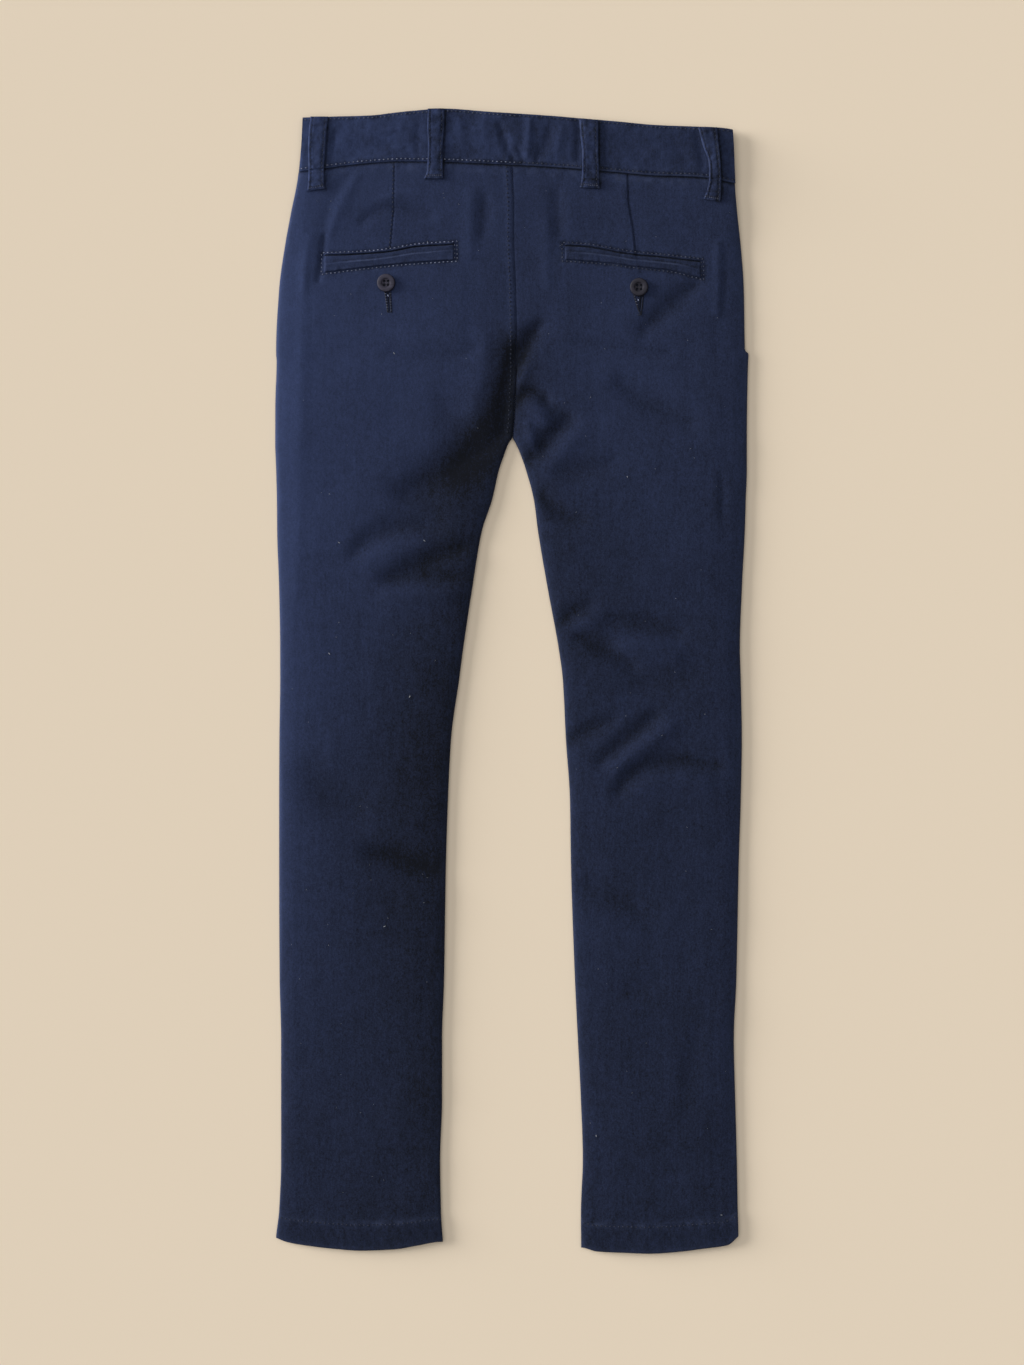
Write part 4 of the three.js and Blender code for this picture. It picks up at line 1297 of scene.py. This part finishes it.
def button(name, radius, thick, place, level, flip=False, tilt=(0, 0)):
    """A four-hole button with a raised rim."""
    dish = radius * BUTTON_DISH
    profile = [(0, 0), (radius - 1.4, 0), (radius - 0.55, thick * 0.12), (radius - 0.1, thick * 0.36)]
    profile += [(radius, thick * 0.56), (radius - 0.12, thick * 0.76), (radius - 0.5, thick * 0.93)]
    profile += [(radius - 1.1, thick), (dish + 0.7, thick * 0.98), (dish + 0.3, thick * 0.92)]
    profile += [(dish, thick * 0.72), (dish - 0.3, thick * 0.60), (dish - 0.9, thick * 0.55)]
    profile += [(0, thick * 0.55)]
    vertices, faces = turned_body(profile, 72)
    body = new_object(name + "_body", vertices * MM, faces, HORN)
    for dx in (-1, 1):
        for dy in (-1, 1):
            bore = [(0, -thick), (BUTTON_HOLE_RADIUS, -thick)]
            bore += [(BUTTON_HOLE_RADIUS, 2 * thick), (0, 2 * thick)]
            shift = np.array([dx, dy, 0]) * BUTTON_HOLE_SPREAD
            points, sides = turned_body(bore, 20)
            mesh = bpy.data.meshes.new("bore")
            mesh.from_pydata([tuple(p) for p in (points + shift) * MM], [], sides)
            cutter = bpy.data.objects.new("bore", mesh)
            bpy.context.scene.collection.objects.link(cutter)
            cut = body.modifiers.new("bore", "BOOLEAN")
            cut.object = cutter
            cut.operation = "DIFFERENCE"
            cut.solver = "EXACT"
            graph = bpy.context.evaluated_depsgraph_get()
            made = bpy.data.meshes.new_from_object(body.evaluated_get(graph))
            body.modifiers.clear()
            body.data = made
            bpy.data.objects.remove(cutter)
    body.data.set_sharp_from_angle(angle=math.radians(38))
    points = points_of(body) / MM
    from_axis = np.hypot(points[:, 0], points[:, 1])
    # Only the top is painted pale, its outer rim 1.25 times paler; the sides and underside stay at the
    # deepest colour as painted shade
    on_top = (points[:, 2] > 0.5 * thick) & (from_axis < radius - 0.2)
    paint(body, "shade", BUTTON_SHADES[name] * on_top * np.where(from_axis > radius - 1.2, 1.25, 1.0))
    place_mesh(body, place, level, flip, tilt)
    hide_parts(name)


def place_mesh(obj, place, level, flip, tilt):
    """Move a mesh's points, so that its object stays at the origin."""
    points = points_of(obj)
    if flip:
        points = points * np.array([1, -1, -1])
    lean = np.array(BUTTON_LEAN) * (0 if flip else 1)
    points[:, :2] += points[:, 2:] * lean
    points[:, 2] += points[:, 0] * tilt[0] + points[:, 1] * tilt[1]
    points += np.array([place[0], place[1], level]) * MM
    obj.data.vertices.foreach_set("co", points.ravel())
    obj.data.update()


def resample(line, step):
    line = np.array(line, float)
    lengths = np.hypot(*np.diff(line, axis=0).T)
    total = np.concatenate([[0], np.cumsum(lengths)])
    count = max(1, int(round(total[-1] / step)))
    at = (np.arange(count) + 0.5) / count * total[-1]
    x = np.interp(at, total, line[:, 0])
    y = np.interp(at, total, line[:, 1])
    ahead = np.minimum(at + 0.4, total[-1])
    behind = np.maximum(at - 0.4, 0)
    dx = np.interp(ahead, total, line[:, 0]) - np.interp(behind, total, line[:, 0])
    dy = np.interp(ahead, total, line[:, 1]) - np.interp(behind, total, line[:, 1])
    size = np.hypot(dx, dy)
    return x, y, dx / size, dy / size


STITCH_RINGS = [(-0.5, 0.0, -0.32), (-0.46, 0.6, -0.2), (-0.2, 1.0, 0), (0.2, 1.0, 0), (0.46, 0.6, -0.2),
                (0.5, 0.0, -0.32)]
STITCH_SIDES = 6


def stitch_template():
    points = [(STITCH_RINGS[0][0], 0, 0, STITCH_RINGS[0][2])]
    for share, fat, drop in STITCH_RINGS[1:-1]:
        for k in range(STITCH_SIDES):
            angle = 2 * math.pi * k / STITCH_SIDES
            points.append((share, fat * math.cos(angle), fat * math.sin(angle), drop))
    points.append((STITCH_RINGS[-1][0], 0, 0, STITCH_RINGS[-1][2]))
    rings = len(STITCH_RINGS) - 2
    faces = []
    for k in range(STITCH_SIDES):
        n = (k + 1) % STITCH_SIDES
        faces.append((0, 1 + n, 1 + k, 1 + k))
        for i in range(rings - 1):
            a = 1 + i * STITCH_SIDES
            faces.append((a + k, a + n, a + STITCH_SIDES + n, a + STITCH_SIDES + k))
        a = 1 + (rings - 1) * STITCH_SIDES
        faces.append((a + k, a + n, len(points) - 1, len(points) - 1))
    return np.array(points), np.array(faces)


def stitches(name, rows, level, radius=0.3, seed=1, under=False):
    """Every stitch of some rows as one joined mesh. A row is a line, a pitch, a share and a shade."""
    rng = np.random.default_rng(seed)
    template, template_faces = stitch_template()
    out = -1 if under else 1
    groups = []
    shades = []
    for line, pitch, share, shade in rows:
        x, y, dx, dy = resample(line, pitch)
        stray = rng.uniform(-0.14, 0.14, len(x))
        x = x - dy * stray
        y = y + dx * stray
        length = pitch * share * rng.uniform(0.85, 1.1, len(x))
        z0 = level(x - dx * length / 2, y - dy * length / 2)
        z1 = level(x + dx * length / 2, y + dy * length / 2)
        z = out * np.maximum(out * level(x, y), out * (z0 + z1) / 2)
        slope = (z1 - z0) / length
        s = template[:, 0][None, :] * length[:, None]
        across = template[:, 1][None, :] * radius
        up = template[:, 2][None, :] * radius + template[:, 3][None, :]
        px = x[:, None] + dx[:, None] * s - dy[:, None] * across
        py = y[:, None] + dy[:, None] * s + dx[:, None] * across
        pz = z[:, None] + slope[:, None] * s + out * (up + radius * 0.35)
        groups.append(np.stack([px, py, pz], -1).reshape(-1, 3))
        shades.append(np.repeat(shade * rng.uniform(0.55, 1.45, len(x)), len(template)))
    vertices = np.concatenate(groups) * MM
    count = len(vertices) // len(template)
    faces = (template_faces[None] + np.arange(count)[:, None, None] * len(template)).reshape(-1, 4)
    lists = [tuple(dict.fromkeys(face[::out])) for face in faces.tolist()]
    obj = new_object(name, vertices, lists, THREAD)
    paint(obj, "shade", np.concatenate(shades))
    return obj


def seam_line(start, end, offset, count=40):
    xs = np.linspace(start, end, count)
    return np.stack([xs, seam_at(xs) + offset], 1)


def top_line(start, end, offset, count=40):
    xs = np.linspace(start, end, count)
    return np.stack([xs, top_at(xs) - offset], 1)


def hem_line(side, rise):
    outer = outer_edge(side, HEM_CORNER + rise)
    inner = inner_edge(side, HEM_CORNER + rise)
    xs = np.linspace(outer + 0.8 * np.sign(inner - outer), inner - 0.8 * np.sign(inner - outer), 30)
    section = HEM_CORNER + rise + 0 * xs
    return np.stack([xs, section + bend_shift(xs, section)], 1)


def centre_line(offset):
    sections = np.linspace(CROTCH + 2, WAIST_SEAM, 40)
    xs = inner_edge("left", sections) - offset
    return np.stack([xs, sections + bend_shift(xs, sections)], 1)


# Length of a stitch with its gap, on most rows and on fine ones, and the share that is thread
PITCH = 3.3
FINE_PITCH = 3.2
SEWN = 0.42
# How pale each kind of row is; a row on the left side is paler than its twin on the right as painted
# light, which falls from the left
SHADE = {
    "seam_left": 0.52, "seam_right": 0.12, "top_left": 0.22, "top_right": 0.10, "centre": 0.05,
    "hem": 0.07, "welt_left": 0.62, "welt_right": 0.17, "dart": 0.08, "loop": 0.07, "tack": 0.26,
}


def back_rows():
    rows = [(seam_line(-161, 4, 2.2), PITCH, SEWN, SHADE["seam_left"])]
    rows.append((seam_line(5, 169.5, 2.2), PITCH, SEWN, SHADE["seam_right"]))
    rows.append((top_line(-158, 4, 1.9), FINE_PITCH, SEWN, SHADE["top_left"]))
    rows.append((top_line(5, 166, 1.9), FINE_PITCH, SEWN, SHADE["top_right"]))
    rows.append((centre_line(4.2), PITCH, SEWN, SHADE["centre"]))
    for side in ("left", "right"):
        rows.append((hem_line(side, HEM_DEPTH - 2), PITCH, SEWN, SHADE["hem"]))
    left_dart = np.array(DARTS[0]) - (0.9, 0)
    rows.append((left_dart, PITCH, SEWN, SHADE["dart"]))
    for name, table in WELTS.items():
        last = table["x"][-1]
        rows.append((frame_line(name), FINE_PITCH, SEWN, SHADE[name]))
        inner = last - 1.6
        low = float(along(table, "x", "foot", inner)) + 1.5
        high = float(along(table, "x", "mouth", inner)) + 1.2
        rows.append((np.array([(inner, low), (inner, high)]), FINE_PITCH, SEWN, 0.5 * SHADE[name]))
    return rows


def loop_rows(loop):
    """Edge stitching on both sides of a loop and a bar-tack across its doubled foot."""
    x, y, _, _, _ = loop_grid(loop, LOOP_COLUMNS, 60)
    rows = []
    for column in (LOOP_SEWN_COLUMN, LOOP_COLUMNS - LOOP_SEWN_COLUMN):
        inner = slice(2, len(x) - 2)
        line = np.stack([x[inner, column], y[inner, column]], 1)
        rows.append((line, FINE_PITCH, SEWN, SHADE["loop"]))
    for rise, shade in ((1.9, SHADE["tack"]), (2.8, SHADE["loop"])):
        left = (loop["left"][0] + 1.0, loop["foot"] + rise - loop["slant"] * 0.38)
        right = (loop["right"][0] - 1.0, loop["foot"] + rise + loop["slant"] * 0.38)
        rows.append((np.array([left, right]), 1.6, 0.8, shade))
    return rows


def loop_level(loop):
    """Height of one belt loop's outer face."""
    x, y, low, across, width = loop_grid(loop, LOOP_COLUMNS, LOOP_ROWS)
    heights, _ = loop_top(loop, x, y, low, across, width)

    def level(px, py):
        out = np.empty(len(px))
        for k in range(len(px)):
            nearest = np.argmin((x - px[k]) ** 2 + (y - py[k]) ** 2)
            out[k] = heights.ravel()[nearest]
        return out

    return level


# Each lamp's name, strength, spread in degrees and the way its light travels
LAMPS = [
    ("window", 5.5, 34, (0.945, -0.25, -0.205)),
    ("ceiling", 1.38, 80, (0.15, -0.1, -1.0)),
]
ROOM_LIGHT = 0.15
LIGHT_COLOUR = (1.0, 0.99, 0.98)
FLOOR_COLOUR = (0.778, 0.666, 0.522, 1)
# Half the floor's width, and how far it lies below the cloth, in metres
FLOOR_REACH = 60.0
FLOOR_DROP = 0.0004
# The photograph: its height in pixels and the millimetres that one pixel shows
PHOTO_HEIGHT = 1365
PHOTO_SCALE = 0.76
LENS = 85
SENSOR_HEIGHT = 36


def floor_and_light():
    mesh = bpy.data.meshes.new("floor")
    corners = [(FLOOR_REACH * x, FLOOR_REACH * y, 0) for x, y in ((-1, -1), (1, -1), (1, 1), (-1, 1))]
    mesh.from_pydata(corners, [], [(0, 1, 2, 3)])
    floor = bpy.data.objects.new("floor", mesh)
    floor.location.z = -FLOOR_DROP
    bpy.context.scene.collection.objects.link(floor)
    material, _, _, shader = principled("floor_paper")
    shader.inputs["Base Color"].default_value = FLOOR_COLOUR
    shader.inputs["Roughness"].default_value = 0.95
    shader.inputs["Specular IOR Level"].default_value = 0.0
    mesh.materials.append(material)

    world = bpy.data.worlds.new("studio")
    world.use_nodes = True
    background = world.node_tree.nodes["Background"]
    background.inputs["Color"].default_value = (*LIGHT_COLOUR, 1)
    background.inputs["Strength"].default_value = ROOM_LIGHT
    bpy.context.scene.world = world
    for name, energy, spread, toward in LAMPS:
        sun = bpy.data.lights.new(name, "SUN")
        sun.energy = energy
        sun.angle = math.radians(spread)
        sun.color = LIGHT_COLOUR
        lamp = bpy.data.objects.new(name, sun)
        lamp.rotation_euler = Vector(toward).to_track_quat("-Z", "Y").to_euler()
        bpy.context.scene.collection.objects.link(lamp)


def camera():
    frame_height = PHOTO_HEIGHT * PHOTO_SCALE * MM
    data = bpy.data.cameras.new("camera")
    data.lens = LENS
    data.sensor_fit = "VERTICAL"
    data.sensor_height = SENSOR_HEIGHT
    obj = bpy.data.objects.new("camera", data)
    obj.location = (0.4 * MM, -0.8 * MM, data.lens / data.sensor_height * frame_height + 4 * MM)
    bpy.context.scene.collection.objects.link(obj)
    bpy.context.scene.camera = obj


def shank(name, place, level):
    """The dark wrapped thread under a button, which closes its holes from below; at the deepest thread
    colour it is painted shade in the holes.
    """
    profile = [(0, 0), (2.9, 0), (3.1, 0.2), (2.9, 0.5), (0, 0.5)]
    vertices, faces = turned_body(profile, 28)
    body = new_object(name, vertices * MM, faces, THREAD)
    place_mesh(body, place, level, False, (0, 0))


# Height of the crossed thread over a button's underside
CROSS_RISE = 1.36


def cross_thread(name, place, level, tilt=(0, 0)):
    """The thread through a button's four holes, in two bars."""
    spread = BUTTON_HOLE_SPREAD
    reach = spread * 1.3
    rows = []
    middle = np.array(place) + np.array(BUTTON_LEAN) * CROSS_RISE
    for side in (-1, 1):
        line = np.array([(side * spread, -reach), (side * spread, reach)]) + middle
        rows.append((line, 2 * reach, 0.9, 0.03))

    def height(x, y):
        return level + tilt[0] * (x - place[0]) + tilt[1] * (y - place[1])

    stitches(name, rows, height, radius=0.17, seed=9)


# Buttonholes: the middle of the upper end, the lower end, and how far the upper end gapes
BUTTONHOLES = {
    "buttonhole_left": dict(top=(-93.9, 295.5), foot=(-92.6, 281.0), gape=1.0, knot=(-94.0, 293.6)),
    "buttonhole_right": dict(top=(95.6, 293.5), foot=(97.1, 278.9), gape=3.4, knot=(96.0, 290.2)),
}


def hole_sides(hole):
    """The two sides of a buttonhole, from its upper end to its foot."""
    top = np.array(hole["top"])
    foot = np.array(hole["foot"])
    t = np.linspace(0, 1, 15)[:, None]
    middle = mix(top, foot, t)
    half = np.maximum(hole["gape"] * (1 - t) ** 0.8, 0.35)
    across = np.array([1.0, 0.0])
    return middle - across * half, middle + across * half


def buttonhole(name, hole):
    """The slit, painted dark as its shadow, with close purl stitches along both sides."""
    left, right = hole_sides(hole)
    share = np.linspace(0, 1, 9)
    x = mix(left[:, :1], right[:, :1], share)[::-1]
    y = mix(left[:, 1:], right[:, 1:], share)[::-1]
    level = surface(x, y)
    bulge = 0.12 * np.sin(np.pi * share) * (hole["gape"] > 1)
    # The slit's patch is painted dark as its shadow, less dark where the gaping hole's middle bulges
    shade_and_mottle = 1.0 - 0.75 * (bulge > 0.05) + 0 * x
    cloth_shell(name, x, y, level - 0.02, level + 0.06 + bulge, TWILL, shade_and_mottle=shade_and_mottle)
    rows = []
    gaping = hole["gape"] > 2
    for side, outward in ((left, 1 if gaping else -1), (right, 1)):
        for k, (px, py) in enumerate(side):
            line = np.array([(px + outward * 0.1, py), (px + outward * 1.9, py + 0.1)])
            # On the gaping hole the purl is left dark but on the upper left, as painted shadow along the
            # edges of its V
            pale = k % 2 and not (gaping and (side is right or k > 8))
            rows.append((line, 1.5, 1.0, 0.24 if pale else 0.0))
            rows.append((line - np.array([0, 0.5]), 1.5, 1.0, 0.0))
    foot = np.array(hole["foot"])
    rows.append((np.array([foot + (-1.4, -0.6), foot + (1.4, -0.6)]), 1.0, 1.1, 0.08))
    stitches("stitches_" + name, rows, surface, radius=0.32, seed=12)
    knot = np.array([hole["knot"], np.array(hole["knot"]) + (0.5, -1.4)])

    def above(px, py):
        return surface(px, py) + 0.5

    stitches("knot_" + name, [(knot, 1.5, 1.0, 1.2)], above, radius=0.42, seed=13)


# Loose fibres that the photograph shows, at their places, and how many finer ones lie about
LINT_PLACES = [
    (-88.5, 248.2), (-131.9, 106.0), (-65.0, 106.0), (87.8, 156.2), (-77.9, -12.5), (-95.4, -185.1),
    (65.0, -346.2), (160.7, -405.5), (53.6, 399.4), (-138.0, 20.0),
]
LINT_COUNT = 105
LINT_RINGS = 6


def lint_fibres(rng, spots):
    """Short bent fibres on the cloth, as one set of points and faces."""
    place = np.array([spot[0] for spot in spots])
    length = np.array([spot[1] for spot in spots])[:, None]
    radius = np.array([spot[2] for spot in spots])[:, None]
    heading = rng.uniform(0, 2 * np.pi, len(spots))[:, None]
    bend = rng.uniform(-1.2, 1.2, len(spots))[:, None]
    angle = heading + bend * np.linspace(-0.5, 0.5, LINT_RINGS)
    x = place[:, :1] + np.cumsum(np.cos(angle), 1) * length / LINT_RINGS
    y = place[:, 1:] + np.cumsum(np.sin(angle), 1) * length / LINT_RINGS
    z = surface(x, y) + radius * 1.1
    fat = radius * np.sin(np.pi * np.linspace(0.12, 0.88, LINT_RINGS))
    corners = []
    for across, up in ((1, 0), (0, 1), (-1, 0), (0, -1)):
        corner_x = x - np.sin(angle) * fat * across
        corner_y = y + np.cos(angle) * fat * across
        corners.append(np.stack([corner_x, corner_y, z + up * fat], -1))
    points = np.stack(corners, 2).reshape(-1, 3)
    own = []
    for i in range(LINT_RINGS - 1):
        for k in range(4):
            n = (k + 1) % 4
            own.append((4 * i + k, 4 * i + 4 + k, 4 * i + 4 + n, 4 * i + n))
    last = 4 * LINT_RINGS - 4
    own += [(0, 1, 2, 3), (last + 3, last + 2, last + 1, last)]
    faces = np.array(own)[None] + np.arange(len(spots))[:, None, None] * 4 * LINT_RINGS
    return points, faces.reshape(-1, 4)


def lint():
    rng = np.random.default_rng(40)
    spots = [(place, rng.uniform(1.5, 2.4), 0.24) for place in LINT_PLACES]
    while len(spots) < LINT_COUNT:
        place = (rng.uniform(-172, 172), rng.uniform(-410, 380))
        if on_a_leg(place):
            spots.append((place, rng.uniform(0.6, 1.3), rng.uniform(0.06, 0.12)))
    points, faces = lint_fibres(rng, spots)
    new_object("lint_fibres", points * MM, faces, LINT)


def on_a_leg(place, margin=5.0):
    left = side_of(*place)
    side = "left" if left else "right"
    inside = float(outer_edge(side, place[1])) * (-1 if left else 1) > abs(place[0]) + margin
    if place[1] > CROTCH:
        return inside
    inner = abs(float(inner_edge(side, place[1])))
    return inside and abs(place[0]) > inner + margin


ZIP_FOOT = 262
ZIP_TOP = 368
ZIP_HALF = 10


def zip_tape():
    """The closed zip between the layers: two tapes and a row of teeth."""
    heights = np.linspace(ZIP_FOOT, ZIP_TOP, 54)
    shares = np.linspace(-ZIP_HALF, ZIP_HALF, 21)
    x = inner_edge("left", heights)[:, None] + shares
    y = heights[:, None] + 0 * x
    low = FRONT_WALL + lift_at(y + 7) + SEAM_GAP
    teeth = 0.45 * (np.abs(shares) < 2.5) * (0.5 + 0.5 * np.sin(y * 2 * np.pi / 4))
    obj = cloth_shell("zip_closed", x, y, low, low + 0.45 + teeth, ZIP)
    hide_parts("fly_zip")


def zip_material():
    material, nodes, links, shader = principled("zip_tape_navy")
    place = object_place(nodes)
    ribs = wave_node(nodes, links, turned(nodes, links, place, 0), 0.0009)
    links.new(blend(nodes, links, ribs, TAPE_DEEP, TAPE_PALE), shader.inputs["Base Color"])
    shader.inputs["Roughness"].default_value = 0.75
    return material


ZIP = zip_material()


def button_level(place, radius):
    """The level that clears the cloth under a button."""
    angles = np.linspace(0, 2 * np.pi, 24, endpoint=False)
    heights = []
    for reach in (2, radius - 1):
        ring = surface(place[0] + reach * np.cos(angles), place[1] + reach * np.sin(angles))
        heights.append(ring.max())
    return max(heights) + SEAM_GAP


camera()
floor_and_light()
bpy.context.scene.view_settings.view_transform = "Standard"
for side in ("left", "right"):
    back_panel(side)
    front_panel(side)
    pocket_facing(side)
    waistband_front(side)
waistband_back()
for loop in BACK_LOOPS:
    belt_loop(loop)
for name, centre in FRONT_LOOPS.items():
    front_loop(name, centre)
for name in WELTS:
    welt(name)
for name, place in POCKET_BUTTONS.items():
    tilt = BUTTON_TILTS[name]
    radius, thick = POCKET_BUTTON
    level = button_level(place, radius)
    button(name, radius, thick, place, level, tilt=tilt)
    cross_thread(name + "_thread", place, level + CROSS_RISE, tilt)
    shank("shank_" + name, place, level - 0.25)
for name, hole in BUTTONHOLES.items():
    buttonhole(name, hole)
lint()
button_room = BAND_LIFT - SEAM_GAP
button("waist_button", WAIST_BUTTON_RADIUS, button_room, WAIST_BUTTON_PLACE, button_room, flip=True)
zip_tape()
front_sewing()
stitches("stitches_back", back_rows(), surface, radius=0.42)
for loop in BACK_LOOPS:
    stitches("stitches_" + loop["name"], loop_rows(loop), loop_level(loop), radius=0.26, seed=7)
